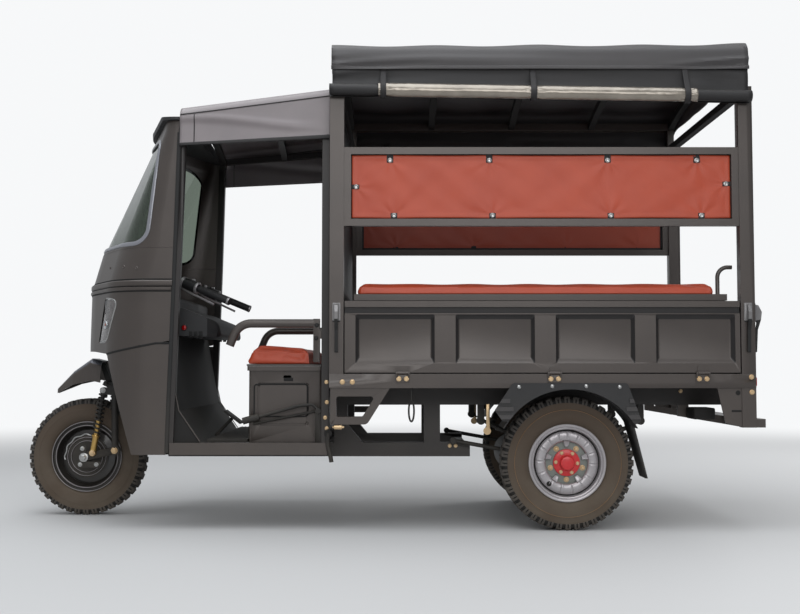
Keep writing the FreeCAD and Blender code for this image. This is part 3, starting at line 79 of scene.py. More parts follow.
# %% Camera
SENSOR_WIDTH = 36.0
FOCAL_PIXELS = 1111.0
IMAGE_WIDTH = 800.0
AXIS_PIXEL = (403.0, 307.0)
CAMERA_PLACE = Vector((0.1215, -5.34, 0.702))
CAMERA_TILT_UP = math.radians(3.04)
AXIS_OFF_CENTRE = (AXIS_PIXEL[0] - IMAGE_WIDTH / 2) / IMAGE_WIDTH

camera_data = bpy.data.cameras.new("photo_camera")
camera_data.sensor_width = SENSOR_WIDTH
camera_data.lens = FOCAL_PIXELS / IMAGE_WIDTH * SENSOR_WIDTH
camera_data.shift_x = -AXIS_OFF_CENTRE
camera = bpy.data.objects.new("photo_camera", camera_data)
camera.location = CAMERA_PLACE
camera.rotation_euler = (math.radians(90) + CAMERA_TILT_UP, 0, 0)
bpy.context.scene.collection.objects.link(camera)
bpy.context.scene.camera = camera
print("lens", round(camera_data.lens, 1), "mm")

# %% [markdown]
# ## Light and floor
# Soft light shows form without hard edges: one wide lamp overhead stands for the sky, one lower lamp in
# front fills the side that faces the camera, and the world lifts the shadows. The white backdrop is only
# for camera and glass rays, so it adds no light to the object. Far from the object the floor fades
# into that same white, so no horizon line crosses the picture.

# %% Node helpers
def add_node(tree, kind, **settings):
    node = tree.nodes.new(kind)
    for key, value in settings.items():
        setattr(node, key, value)
    return node


def join_up(tree, *pairs):
    for a, b in pairs:
        tree.links.new(a, b)


def set_inputs(node, values):
    for socket, value in values.items():
        node.inputs[socket].default_value = value


# %% World and lamps
bpy.context.scene.view_settings.view_transform = "Standard"
WORLD_LIGHT = 0.52
SKY_TINT = (0.94, 0.97, 1.0)
BACKDROP = (0.93, 0.94, 0.95, 1)


def build_world():
    world = bpy.data.worlds.new("studio")
    bpy.context.scene.world = world
    world.use_nodes = True
    tree = world.node_tree
    tree.nodes.clear()
    light = add_node(tree, "ShaderNodeBackground")
    set_inputs(light, {"Color": (*SKY_TINT, 1), "Strength": WORLD_LIGHT})
    backdrop = add_node(tree, "ShaderNodeBackground")
    backdrop.inputs["Color"].default_value = BACKDROP
    path = add_node(tree, "ShaderNodeLightPath")
    seen = add_node(tree, "ShaderNodeMath", operation="MAXIMUM")
    mix = add_node(tree, "ShaderNodeMixShader")
    out = add_node(tree, "ShaderNodeOutputWorld")
    join_up(tree, (path.outputs["Is Camera Ray"], seen.inputs[0]),
            (path.outputs["Is Transmission Ray"], seen.inputs[1]), (seen.outputs[0], mix.inputs[0]),
            (light.outputs[0], mix.inputs[1]), (backdrop.outputs[0], mix.inputs[2]),
            (mix.outputs[0], out.inputs["Surface"]))


def area_lamp(name, place, aim, size, power, colour=(1, 1, 1)):
    data = bpy.data.lights.new(name, "AREA")
    data.shape = "RECTANGLE"
    data.size, data.size_y = size
    data.energy = power
    data.color = colour
    lamp = bpy.data.objects.new(name, data)
    lamp.location = place
    lamp.rotation_euler = (Vector(aim) - Vector(place)).to_track_quat("-Z", "Y").to_euler()
    bpy.context.scene.collection.objects.link(lamp)


build_world()
area_lamp("sky_panel", (-0.6, -1.2, 5.2), (0, 0, 1.0), (6.0, 4.5), 215, SKY_TINT)
area_lamp("front_fill", (0.6, -6.4, 2.9), (0, 0, 0.9), (4.2, 2.4), 104)
area_lamp("rear_rim", (4.2, 3.4, 2.8), (0, 0, 1.0), (2.4, 2.0), 70)

# %% Floor
FLOOR_SPAN = 60.0
FLOOR_COLOUR = (0.58, 0.58, 0.58, 1)
FADE_START, FADE_END = 3.4, 9.0


def build_floor():
    bm = bmesh.new()
    bmesh.ops.create_grid(bm, x_segments=1, y_segments=1, size=FLOOR_SPAN / 2)
    mesh = bpy.data.meshes.new("floor")
    bm.to_mesh(mesh)
    bm.free()
    floor = bpy.data.objects.new("floor", mesh)
    bpy.context.scene.collection.objects.link(floor)
    material = bpy.data.materials.new("pale_floor")
    material.use_nodes = True
    tree = material.node_tree
    shader = tree.nodes["Principled BSDF"]
    set_inputs(shader, {"Base Color": FLOOR_COLOUR, "Roughness": 0.65, "Specular IOR Level": 0.2})
    place = add_node(tree, "ShaderNodeTexCoord")
    reach = add_node(tree, "ShaderNodeVectorMath", operation="LENGTH")
    fade = add_node(tree, "ShaderNodeMapRange")
    fade.interpolation_type = "SMOOTHSTEP"
    set_inputs(fade, {"From Min": FADE_START, "From Max": FADE_END})
    path = add_node(tree, "ShaderNodeLightPath")
    seen = add_node(tree, "ShaderNodeMath", operation="MAXIMUM")
    both = add_node(tree, "ShaderNodeMath", operation="MULTIPLY")
    white = add_node(tree, "ShaderNodeEmission")
    white.inputs["Color"].default_value = BACKDROP
    mix = add_node(tree, "ShaderNodeMixShader")
    for start, end in ((place.outputs["Object"], reach.inputs[0]),
                       (reach.outputs["Value"], fade.inputs["Value"]),
                       (path.outputs["Is Camera Ray"], seen.inputs[0]),
                       (path.outputs["Is Transmission Ray"], seen.inputs[1]),
                       (fade.outputs["Result"], both.inputs[0]), (seen.outputs[0], both.inputs[1]),
                       (both.outputs[0], mix.inputs[0]), (shader.outputs[0], mix.inputs[1]),
                       (white.outputs[0], mix.inputs[2]),
                       (mix.outputs[0], tree.nodes["Material Output"].inputs["Surface"])):
        tree.links.new(start, end)
    mesh.materials.append(material)


build_floor()

# %% [markdown]
# ## Effects that several finishes share
# Real paint, plastic and cloth are never one flat colour. Each effect here is a node group with named
# sockets, built once and then placed in every material that needs it with its own numbers. All of them
# read Object coordinates, so a pattern stays on its piece when the piece moves.


# %% Node group helper
def new_group(name, inputs, outputs):
    """An empty shader group with float or colour sockets, and its two end nodes."""
    group = bpy.data.node_groups.new(name, "ShaderNodeTree")
    kinds = {"value": "NodeSocketFloat", "colour": "NodeSocketColor"}
    for label, kind, default in inputs:
        socket = group.interface.new_socket(label, in_out="INPUT", socket_type=kinds[kind])
        socket.default_value = default
    for label, kind in outputs:
        group.interface.new_socket(label, in_out="OUTPUT", socket_type=kinds[kind])
    return group, group.nodes.new("NodeGroupInput"), group.nodes.new("NodeGroupOutput")


# %% Patchy colour
def build_patchy():
    """Two close colours mixed by a soft cloud, as paint, rubber and cloth vary."""
    tree, given, result = new_group(
        "patchy_colour",
        [("Colour A", "colour", (0.5, 0.5, 0.5, 1)), ("Colour B", "colour", (0.4, 0.4, 0.4, 1)),
         ("Scale", "value", 6.0), ("Contrast", "value", 0.5)],
        [("Colour", "colour"), ("Mask", "value")])
    place = add_node(tree, "ShaderNodeTexCoord")
    cloud = add_node(tree, "ShaderNodeTexNoise")
    cloud.inputs["Detail"].default_value = 6.0
    low = add_node(tree, "ShaderNodeMath", operation="MULTIPLY_ADD")
    set_inputs(low, {1: -0.4, 2: 0.5})
    high = add_node(tree, "ShaderNodeMath", operation="MULTIPLY_ADD")
    set_inputs(high, {1: 0.4, 2: 0.5})
    spread = add_node(tree, "ShaderNodeMapRange")
    set_inputs(spread, {"From Min": 0.3, "From Max": 0.7})
    mix = add_node(tree, "ShaderNodeMix", data_type="RGBA")
    join_up(tree, (place.outputs["Object"], cloud.inputs["Vector"]),
            (given.outputs["Scale"], cloud.inputs["Scale"]),
            (given.outputs["Contrast"], low.inputs[0]), (given.outputs["Contrast"], high.inputs[0]),
            (cloud.outputs["Fac"], spread.inputs["Value"]),
            (low.outputs[0], spread.inputs["To Min"]), (high.outputs[0], spread.inputs["To Max"]),
            (spread.outputs["Result"], mix.inputs["Factor"]),
            (given.outputs["Colour A"], mix.inputs["A"]), (given.outputs["Colour B"], mix.inputs["B"]),
            (mix.outputs["Result"], result.inputs["Colour"]),
            (spread.outputs["Result"], result.inputs["Mask"]))
    return tree


patchy = build_patchy()


# %% Settled dust
def build_dust():
    """Road dust: thick near the floor and on upward faces, broken up by a cloud."""
    tree, given, result = new_group(
        "road_dust",
        [("Colour", "colour", (0.5, 0.5, 0.5, 1)), ("Dust", "colour", (0.30, 0.25, 0.19, 1)),
         ("Amount", "value", 0.3), ("Height", "value", 0.6), ("Roughness", "value", 0.5)],
        [("Colour", "colour"), ("Roughness", "value")])
    place = add_node(tree, "ShaderNodeTexCoord")
    split = add_node(tree, "ShaderNodeSeparateXYZ")
    facing = add_node(tree, "ShaderNodeSeparateXYZ")
    cloud = add_node(tree, "ShaderNodeTexNoise")
    set_inputs(cloud, {"Scale": 9.0, "Detail": 8.0})
    fall = add_node(tree, "ShaderNodeMapRange")
    set_inputs(fall, {"From Min": 0.0, "To Min": 1.0, "To Max": 0.0})
    up = add_node(tree, "ShaderNodeMapRange")
    set_inputs(up, {"From Min": 0.4, "From Max": 1.0, "To Max": 0.45})
    both = add_node(tree, "ShaderNodeMath", operation="ADD")
    broken = add_node(tree, "ShaderNodeMath", operation="MULTIPLY")
    scaled = add_node(tree, "ShaderNodeMath", operation="MULTIPLY", use_clamp=True)
    mix = add_node(tree, "ShaderNodeMix", data_type="RGBA")
    rough = add_node(tree, "ShaderNodeMath", operation="MULTIPLY_ADD", use_clamp=True)
    rough.inputs[1].default_value = 0.4
    join_up(tree, (place.outputs["Object"], split.inputs[0]), (place.outputs["Normal"], facing.inputs[0]),
            (place.outputs["Object"], cloud.inputs["Vector"]),
            (split.outputs["Z"], fall.inputs["Value"]), (given.outputs["Height"], fall.inputs["From Max"]),
            (facing.outputs["Z"], up.inputs["Value"]),
            (fall.outputs["Result"], both.inputs[0]), (up.outputs["Result"], both.inputs[1]),
            (both.outputs[0], broken.inputs[0]), (cloud.outputs["Fac"], broken.inputs[1]),
            (broken.outputs[0], scaled.inputs[0]), (given.outputs["Amount"], scaled.inputs[1]),
            (scaled.outputs[0], mix.inputs["Factor"]),
            (given.outputs["Colour"], mix.inputs["A"]), (given.outputs["Dust"], mix.inputs["B"]),
            (mix.outputs["Result"], result.inputs["Colour"]),
            (scaled.outputs[0], rough.inputs[0]), (given.outputs["Roughness"], rough.inputs[2]),
            (rough.outputs[0], result.inputs["Roughness"]))
    return tree


dust = build_dust()


# %% Grain and weave heights
def build_grain():
    """Leather or moulding grain: small rounded cells over a slower waviness."""
    tree, given, result = new_group(
        "grain_height", [("Scale", "value", 400.0), ("Waviness", "value", 0.3)], [("Height", "value")])
    place = add_node(tree, "ShaderNodeTexCoord")
    cells = add_node(tree, "ShaderNodeTexVoronoi", feature="SMOOTH_F1")
    wave = add_node(tree, "ShaderNodeTexNoise")
    wave.inputs["Detail"].default_value = 3.0
    slow = add_node(tree, "ShaderNodeMath", operation="MULTIPLY")
    slow.inputs[1].default_value = 0.04
    part = add_node(tree, "ShaderNodeMath", operation="MULTIPLY")
    total = add_node(tree, "ShaderNodeMath", operation="ADD")
    join_up(tree, (place.outputs["Object"], cells.inputs["Vector"]),
            (place.outputs["Object"], wave.inputs["Vector"]),
            (given.outputs["Scale"], cells.inputs["Scale"]), (given.outputs["Scale"], slow.inputs[0]),
            (slow.outputs[0], wave.inputs["Scale"]),
            (wave.outputs["Fac"], part.inputs[0]), (given.outputs["Waviness"], part.inputs[1]),
            (cells.outputs["Distance"], total.inputs[0]), (part.outputs[0], total.inputs[1]),
            (total.outputs[0], result.inputs["Height"]))
    return tree


def build_weave():
    """Coated cloth: two crossed sets of threads, seen faintly through the coating."""
    tree, given, result = new_group("weave_height", [("Scale", "value", 500.0)], [("Height", "value")])
    place = add_node(tree, "ShaderNodeTexCoord")
    total = add_node(tree, "ShaderNodeMath", operation="ADD")
    for slot_number, direction in enumerate(("X", "DIAGONAL")):
        threads = add_node(tree, "ShaderNodeTexWave", wave_type="BANDS", bands_direction=direction)
        threads.inputs["Distortion"].default_value = 0.6
        join_up(tree, (place.outputs["Object"], threads.inputs["Vector"]),
                (given.outputs["Scale"], threads.inputs["Scale"]),
                (threads.outputs["Fac"], total.inputs[slot_number]))
    join_up(tree, (total.outputs[0], result.inputs["Height"]))
    return tree


grain, weave = build_grain(), build_weave()
print("effects:", [g.name for g in bpy.data.node_groups])

# %% [markdown]
# ## Finishes
# One function sets up what most finishes have in common: a patchy base colour under road dust, and a
# bump from grain or weave. A plain number, such as coat weight, goes straight on the shader's socket.


# %% Finish builder
def colour(red, green, blue):
    """A colour given as it looks on a screen, from 0 to 255, as the linear value Blender wants."""
    linear = []
    for part in (red, green, blue):
        part /= 255
        linear.append(part / 12.92 if part <= 0.04045 else ((part + 0.055) / 1.055) ** 2.4)
    return (*linear, 1.0)


def finish(name, main, other, rough=0.5, metal=0.0, coat=0.0, coat_rough=0.1, patch=6.0,
           contrast=0.6, dust_amount=0.15, dust_height=0.7, bump="grain", bump_scale=500.0,
           bump_strength=0.08, sheen=0.0):
    material = bpy.data.materials.new(name)
    material.use_nodes = True
    tree = material.node_tree
    shader = tree.nodes["Principled BSDF"]
    set_inputs(shader, {"Metallic": metal, "Coat Weight": coat, "Coat Roughness": coat_rough,
                        "Sheen Weight": sheen})
    patches = add_node(tree, "ShaderNodeGroup", node_tree=patchy)
    set_inputs(patches, {"Colour A": main, "Colour B": other, "Scale": patch, "Contrast": contrast})
    dusty = add_node(tree, "ShaderNodeGroup", node_tree=dust)
    set_inputs(dusty, {"Amount": dust_amount, "Height": dust_height, "Roughness": rough})
    surface = add_node(tree, "ShaderNodeGroup", node_tree=grain if bump == "grain" else weave)
    surface.inputs["Scale"].default_value = bump_scale
    relief = add_node(tree, "ShaderNodeBump")
    set_inputs(relief, {"Strength": bump_strength, "Distance": 0.001})
    join_up(tree, (patches.outputs["Colour"], dusty.inputs["Colour"]),
            (dusty.outputs["Colour"], shader.inputs["Base Color"]),
            (dusty.outputs["Roughness"], shader.inputs["Roughness"]),
            (surface.outputs["Height"], relief.inputs["Height"]),
            (relief.outputs["Normal"], shader.inputs["Normal"]))
    return material


# %% The vehicle's finishes
body_paint = finish("body_paint", colour(76, 69, 65), colour(66, 60, 57), rough=0.42, metal=0.35,
                    coat=0.25, coat_rough=0.30, bump_scale=900, bump_strength=0.04)
dark_paint = finish("dark_paint", colour(44, 40, 39), colour(35, 32, 31), rough=0.5, metal=0.2,
                    coat=0.15, coat_rough=0.3)
axle_black = finish("axle_black", colour(34, 33, 33), colour(24, 24, 24), rough=0.55, metal=0.3,
                    dust_amount=0.3, bump_strength=0.12)
moulded_black = finish("moulded_black", colour(38, 38, 40), colour(30, 30, 31), rough=0.62,
                       bump_scale=1200, bump_strength=0.2)
black_rubber = finish("black_rubber", colour(30, 30, 30), colour(22, 22, 22), rough=0.75,
                      dust_amount=0.25, bump_strength=0.15)
tyre_rubber = finish("tyre_rubber", colour(72, 57, 44), colour(52, 43, 35), rough=0.8, patch=9,
                     dust_amount=0.45, dust_height=0.7, bump_scale=300, bump_strength=0.25)
tarpaulin = finish("tarpaulin", colour(62, 59, 60), colour(52, 50, 51), rough=0.5, coat=0.1,
                   coat_rough=0.4, bump="weave", bump_scale=420, bump_strength=0.10, sheen=0.1)
# Partly painted shade: the curtains' dark cloth is darkened further for the shade under the roof's hem; the
# welts and hems use it as their own dark colour.
tarpaulin_dark_and_shaded = finish("tarpaulin_dark_and_shaded", colour(31, 29, 30), colour(23, 22, 23), rough=0.6, coat=0.0,
                        coat_rough=0.4, bump="weave", bump_scale=420, bump_strength=0.10)
# Painted reflection: the cab's tarpaulin is a lighter copy of the bed's, for the sky reflected on its sloped
# cloth.
cab_tarpaulin_painted_skylight = finish("cab_tarpaulin_painted_skylight", colour(132, 124, 125), colour(116, 110, 112), rough=0.40,
                       coat=0.15, coat_rough=0.35, bump="weave", bump_scale=420, bump_strength=0.08)
silver_film = finish("silver_film", colour(158, 150, 138), colour(112, 104, 96), rough=0.24,
                     metal=0.55, coat=0.4, coat_rough=0.08, patch=14, bump_scale=90,
                     bump_strength=0.25, dust_amount=0.05)
webbing = finish("webbing", colour(42, 40, 41), colour(32, 31, 32), rough=0.7, bump="weave",
                 bump_scale=900, bump_strength=0.4)
orange_vinyl = finish("orange_vinyl", colour(178, 70, 40), colour(160, 58, 32), rough=0.48,
                      coat=0.06, coat_rough=0.35, bump_scale=700, bump_strength=0.25, dust_amount=0.05)
silver_enamel = finish("silver_enamel", colour(178, 174, 176), colour(156, 152, 155), rough=0.34,
                       metal=0.55, coat=0.2, dust_amount=0.15)
rim_black = finish("rim_black", colour(36, 35, 35), colour(27, 26, 26), rough=0.32, metal=0.3,
                   coat=0.5, coat_rough=0.12)
hub_red = finish("hub_red", colour(205, 28, 36), colour(186, 22, 30), rough=0.38, coat=0.3,
                 dust_amount=0.05)
brass_plate = finish("brass_plate", colour(206, 172, 104), colour(178, 140, 78), rough=0.3,
                     metal=0.9, dust_amount=0.1)
deep_black = finish("deep_black", colour(16, 15, 15), colour(9, 9, 9), rough=0.8, dust_amount=0.08)
plated_steel = finish("plated_steel", colour(190, 190, 188), colour(160, 160, 160), rough=0.28,
                      metal=0.95, dust_amount=0.1)
print("finishes:", len(bpy.data.materials))


# %% Glass and lenses
def glass(name, tint, rough=0.02, weight=1.0, ior=1.45):
    """A thin pane: light goes through it and takes its tint, with a little haze in its roughness."""
    material = bpy.data.materials.new(name)
    material.use_nodes = True
    tree = material.node_tree
    shader = tree.nodes["Principled BSDF"]
    set_inputs(shader, {"Transmission Weight": weight, "IOR": ior})
    patches = add_node(tree, "ShaderNodeGroup", node_tree=patchy)
    set_inputs(patches, {"Colour A": tint, "Colour B": tuple(0.94 * part for part in tint[:3]) + (1.0,),
                         "Scale": 4.0})
    haze = add_node(tree, "ShaderNodeMath", operation="MULTIPLY_ADD")
    set_inputs(haze, {1: rough, 2: rough})
    join_up(tree, (patches.outputs["Colour"], shader.inputs["Base Color"]),
            (patches.outputs["Mask"], haze.inputs[0]), (haze.outputs[0], shader.inputs["Roughness"]))
    return material


tinted_glass = glass("tinted_glass", colour(112, 122, 112))
clear_lens = glass("clear_lens", colour(235, 240, 242))
red_lens = glass("red_lens", colour(200, 20, 22), rough=0.06, weight=0.55)

# %% [markdown]
# ## Pieces and how they are put in place
# Every new piece goes through one helper: it turns a bmesh into an object whose place is in its mesh,
# shades it smooth except at real edges, and lets it ride on the body that carries it.


# %% Piece helpers
SMOOTH_ANGLE = math.radians(32)


def smooth_step(low, high, value):
    share = min(1.0, max(0.0, (value - low) / (high - low)))
    return share * share * (3 - 2 * share)


def body_of(node):
    return nodes[node]["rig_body"]


def box_centre(node):
    low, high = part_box(node)
    return (low + high) / 2


def side_name(name, side):
    return name + ("_right" if side > 0 else "_left")


def y_span(side, a, b):
    """Two distances from the middle as low and high y on one side."""
    return sorted((side * a, side * b))


def node_copy(node):
    """The node's own surface as a bmesh, its doubled vertices merged."""
    bm = bmesh.new()
    bm.from_mesh(nodes[node].data)
    bmesh.ops.remove_doubles(bm, verts=bm.verts, dist=0.00002)
    return bm


def bevel(bm, edges, width, segments=2):
    bmesh.ops.bevel(bm, geom=edges, offset=width, offset_type="OFFSET", segments=segments, profile=0.5,
                    affect="EDGES", clamp_overlap=True, material=-1)


def add_piece(bm, name, body, material, recalc=True):
    if recalc:
        bmesh.ops.recalc_face_normals(bm, faces=bm.faces)
    mesh = bpy.data.meshes.new(name)
    bm.to_mesh(mesh)
    bm.free()
    mesh.shade_smooth()
    mesh.set_sharp_from_angle(angle=SMOOTH_ANGLE)
    mesh.materials.append(material)
    piece = bpy.data.objects.new(name, mesh)
    bpy.context.scene.collection.objects.link(piece)
    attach(piece, body)
    return piece


def merged_copy(node):
    """The node's own surface as a bmesh, with its loose triangles joined into whole flat faces."""
    bm = node_copy(node)
    bmesh.ops.dissolve_limit(bm, angle_limit=math.radians(0.6), verts=bm.verts, edges=bm.edges)
    return bm


def simple_corner(vert):
    """A corner where only three faces meet, so that a rounding can end there cleanly."""
    return len(vert.link_edges) == 3 and len(vert.link_faces) == 3


def soften_edges(bm, width, angle=38, segments=2):
    """Rounds the edges that turn by more than angle, as a press or a file leaves them."""
    sharp = [e for e in bm.edges if len(e.link_faces) == 2
             and e.calc_face_angle(0.0) > math.radians(angle)
             and e.calc_length() > 3 * width and all(simple_corner(v) for v in e.verts)]
    if sharp:
        bevel(bm, sharp, width, segments)
    large = [f for f in bm.faces if len(f.verts) > 4]
    bmesh.ops.triangulate(bm, faces=large)
    return len(sharp)


def weight_normals(piece):
    """Keeps the flat faces flat beside their rounded edges."""
    modifier = piece.modifiers.new("flat_faces", "WEIGHTED_NORMAL")
    modifier.keep_sharp = True


def dress(node, material, width=0.0022, angle=38):
    """A copy of a node with rounded edges and a real finish, shown in the node's place."""
    bm = merged_copy(node)
    count = soften_edges(bm, width, angle)
    piece = add_piece(bm, node + "_shown", body_of(node), material, recalc=False)
    weight_normals(piece)
    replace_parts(piece, node)
    print(node, "edges rounded:", count)
    return piece


def dress_part(node, label, keep, material, cuts, width=0.002):
    """Dresses only the faces of a node that keep accepts, after cutting it at planes across y."""
    bm = merged_copy(node)
    for y in cuts:
        bmesh.ops.bisect_plane(bm, geom=bm.verts[:] + bm.edges[:] + bm.faces[:], plane_co=(0, y, 0),
                               plane_no=(0, 1, 0))
    gone = [face for face in bm.faces if not keep(face.calc_center_median())]
    bmesh.ops.delete(bm, geom=gone, context="FACES")
    bmesh.ops.holes_fill(bm, edges=[edge for edge in bm.edges if edge.is_boundary])
    soften_edges(bm, width)
    piece = add_piece(bm, label, body_of(node), material)
    weight_normals(piece)
    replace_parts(piece, node)


def round_the_visor(piece):
    """Draws the peak forward and fills out its nose, which the loft leaves slanted."""
    low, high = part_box("visor")
    for vert in piece.data.vertices:
        ahead = smooth_step(-1.02, -1.12, vert.co.x)
        up = smooth_step(low.z + 0.015, high.z - 0.01, vert.co.z)
        vert.co.x -= ahead * (0.011 + 0.020 * up)


def second_finish(piece, material, test):
    """Gives the faces that test accepts, by centre and normal, a second finish."""
    piece.data.materials.append(material)
    number = len(piece.data.materials) - 1
    for face in piece.data.polygons:
        if test(face.center, face.normal):
            face.material_index = number


# %% [markdown]
# ## Steel, moulded and rubber parts that keep their shape
# These solids are already right. Real sheet steel and tube have no razor edges, and a small radius is
# what catches the light, so each one is shown as a copy with its edges rounded.

# %% Dress the solids
PAINTED = ("bed_deck", "canopy_frame", "backrest_frames", "steps", "lower_fairings", "headlight_panel",
           "nose_panel", "screen_surround", "seat_box", "seat_lid", "front_mudguard",
           "left_drop_side", "right_drop_side", "tailgate", "armrests", "bench_frames")
shown = {node: dress(node, body_paint) for node in PAINTED}
for node in ("chassis_frame", "cab_frame"):
    dress(node, dark_paint)
for node in ("rear_axle", "leaf_springs", "fork", "controls"):
    dress(node, axle_black, width=0.0012)
for node in ("wheel_guards", "dashboard", "handlebar", "visor"):
    shown[node] = dress(node, moulded_black, width=0.002)
SILL_Y = 0.520
dress_part("cab_floor", "cab_sills", lambda co: abs(co.y) > SILL_Y, body_paint,
           (-SILL_Y, SILL_Y))
dress_part("cab_floor", "cab_pan", lambda co: abs(co.y) < SILL_Y, deep_black,
           (-SILL_Y, SILL_Y))
dress("floor_mat", black_rubber, width=0.001)
dress("battery_pack", moulded_black)
dress("windscreen", tinted_glass, width=0.0005)
dress("headlights", clear_lens, width=0.0005)
dress("tail_lamps", red_lens, width=0.002)

round_the_visor(shown["visor"])

# %% Painted shade, painted highlights and second finishes
GROOVE_Z0, GROOVE_Z1 = 0.9255, 0.9505
# Painted shade: a darker copy of the body paint for the groove under the gates' top rail and for the walls
# of their recesses, where shade falls.
groove_painted_shade = finish("groove_painted_shade", colour(36, 33, 33), colour(29, 27, 27), rough=0.6, metal=0.1,
                      dust_amount=0.05)
# Painted highlight: a lighter copy of the moulded black for the wheel guards' raised ribs.
guard_rib_painted_highlight = finish("guard_rib_painted_highlight", colour(58, 56, 57), colour(48, 46, 47), rough=0.5, bump_scale=1200,
                   bump_strength=0.15)
latch_grey = finish("latch_grey", colour(140, 138, 138), colour(112, 110, 110), rough=0.4, metal=0.5)


def in_groove(co):
    return GROOVE_Z0 < co.z < GROOVE_Z1


# The drop sides and the tailgate get that painted shade in their groove and on their recess walls.
for node, along in (("left_drop_side", 0), ("right_drop_side", 0), ("tailgate", 1)):
    second_finish(shown[node], groove_painted_shade, lambda co, normal, axis=along: in_groove(co) or (
        0.70 < co.z < GROOVE_Z0 and (0.3 < abs(normal[axis]) < 0.98 or normal.z < -0.3)))
# Painted highlight: the mudguard's upward faces get a lighter, bluish copy of the body paint for the sky's
# light on them.
mudguard_painted_skylight = finish("mudguard_painted_skylight", colour(98, 100, 108), colour(84, 86, 94), rough=0.36, metal=0.35,
                      coat=0.3, coat_rough=0.2)
second_finish(shown["front_mudguard"], mudguard_painted_skylight, lambda co, normal: normal.z > 0.45)
# The ribs of the wheel guards get that painted highlight.
second_finish(shown["wheel_guards"], guard_rib_painted_highlight, lambda co, normal: abs(co.y) > 0.6575)
# Painted shade: the canopy frame's bows and rails inside the roof, above 1.85 m, are deep black for the
# shade under the tarpaulin.
second_finish(shown["canopy_frame"], deep_black, lambda co, normal: abs(co.y) < 0.6005 and co.z > 1.85)
second_finish(shown["canopy_frame"], latch_grey, lambda co, normal: co.z > 0.905 and co.z < 0.97 and (
    abs(co.y) > 0.6503 or co.x > 1.6103))
second_finish(shown["canopy_frame"], axle_black, lambda co, normal: co.z < 0.905 and (
    abs(co.y) > 0.6503 or co.x > 1.6103))

# %% [markdown]
# ## Sheets of tarpaulin
# A tarpaulin is one continuous cloth pulled over bows. It could be draped by simulation, but this one is
# tight, and its folds have known places. So a row of edges with the sheet's cross section is extruded
# along its length, which gives an even grid, and a function then moves every vertex: it sags between the
# bows, and soft folds run where the cloth is slack. Solidify gives it the thickness of the cloth.


# %% Sheet helpers
CLOTH = 0.0012


def edge_row(bm, points, closed=False):
    """A row of vertices joined by edges."""
    verts = [bm.verts.new(point) for point in points]
    pairs = zip(verts, verts[1:] + verts[:1]) if closed else zip(verts, verts[1:])
    return [bm.edges.new(pair) for pair in pairs]


def new_row(made):
    """The vertices and edges that an extrusion of edges has just made."""
    verts = [part for part in made["geom"] if isinstance(part, bmesh.types.BMVert)]
    fresh = set(verts)
    edges = [part for part in made["geom"] if isinstance(part, bmesh.types.BMEdge)
             and part.verts[0] in fresh and part.verts[1] in fresh]
    return verts, edges


def pull(bm, edges, stride, steps):
    """Extrudes a row of edges again and again, as cloth comes off its roll."""
    for _ in range(steps):
        verts, edges = new_row(bmesh.ops.extrude_edge_only(bm, edges=edges))
        bmesh.ops.translate(bm, verts=verts, vec=stride)
    return edges


def move_all(bm, rule):
    for vert in bm.verts:
        vert.co = rule(vert.co.copy())


def cloth_area(bm):
    return sum(face.calc_area() for face in bm.faces)


def add_cloth(bm, name, body, material, thickness=CLOTH, offset=0.0):
    piece = add_piece(bm, name, body, material)
    wall = piece.modifiers.new("cloth", "SOLIDIFY")
    wall.thickness = thickness
    wall.offset = offset
    return piece


# %% [markdown]
# ## The canopy roof
# The roof sheet lies on five bows. Its crown is low, its shoulders are tight, and its sides end in a
# stitched hem. At the front and the rear it turns down over the last bow.

# %% Canopy sizes
roof_low, roof_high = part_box("canopy_tarp")
ROOF_X0, ROOF_X1, ROOF_TOP = roof_low.x, roof_high.x, roof_high.z
ROOF_HALF = roof_high.y - 0.002
SHOULDER_OUT, SHOULDER_DROP, CROWN_DROP = 0.042, 0.040, 0.012
HEM_Z = ROOF_TOP - 0.121
END_Z = ROOF_TOP - 0.138
BAY_COUNT = 4
BAY_SAG = 0.011
EDGE_Z = ROOF_TOP - CROWN_DROP - SHOULDER_DROP
print("roof sheet from", round(ROOF_X0, 3), "to", round(ROOF_X1, 3), "hem at", round(HEM_Z, 3))


def roof_height(y):
    """Height of the roof at y, over the crown and down the rounded shoulder."""
    inner = ROOF_HALF - SHOULDER_OUT
    if abs(y) <= inner:
        return ROOF_TOP - CROWN_DROP * (y / inner) ** 2
    share = (abs(y) - inner) / SHOULDER_OUT
    return EDGE_Z + SHOULDER_DROP * math.sqrt(max(0.0, 1 - share * share))


def half_roof_section():
    """The left half of the cross section, from the hem up to the middle of the crown."""
    side = [(-ROOF_HALF, HEM_Z + (EDGE_Z - HEM_Z) * i / 8) for i in range(9)]
    bends = [math.radians(15 * i) for i in range(1, 6)]
    turn = [(-ROOF_HALF + SHOULDER_OUT * (1 - math.cos(a)), 0) for a in bends]
    inner = ROOF_HALF - SHOULDER_OUT
    crown = [(-inner * (1 - i / 14), 0) for i in range(15)]
    return side + [(y, roof_height(y)) for y, _ in turn + crown]


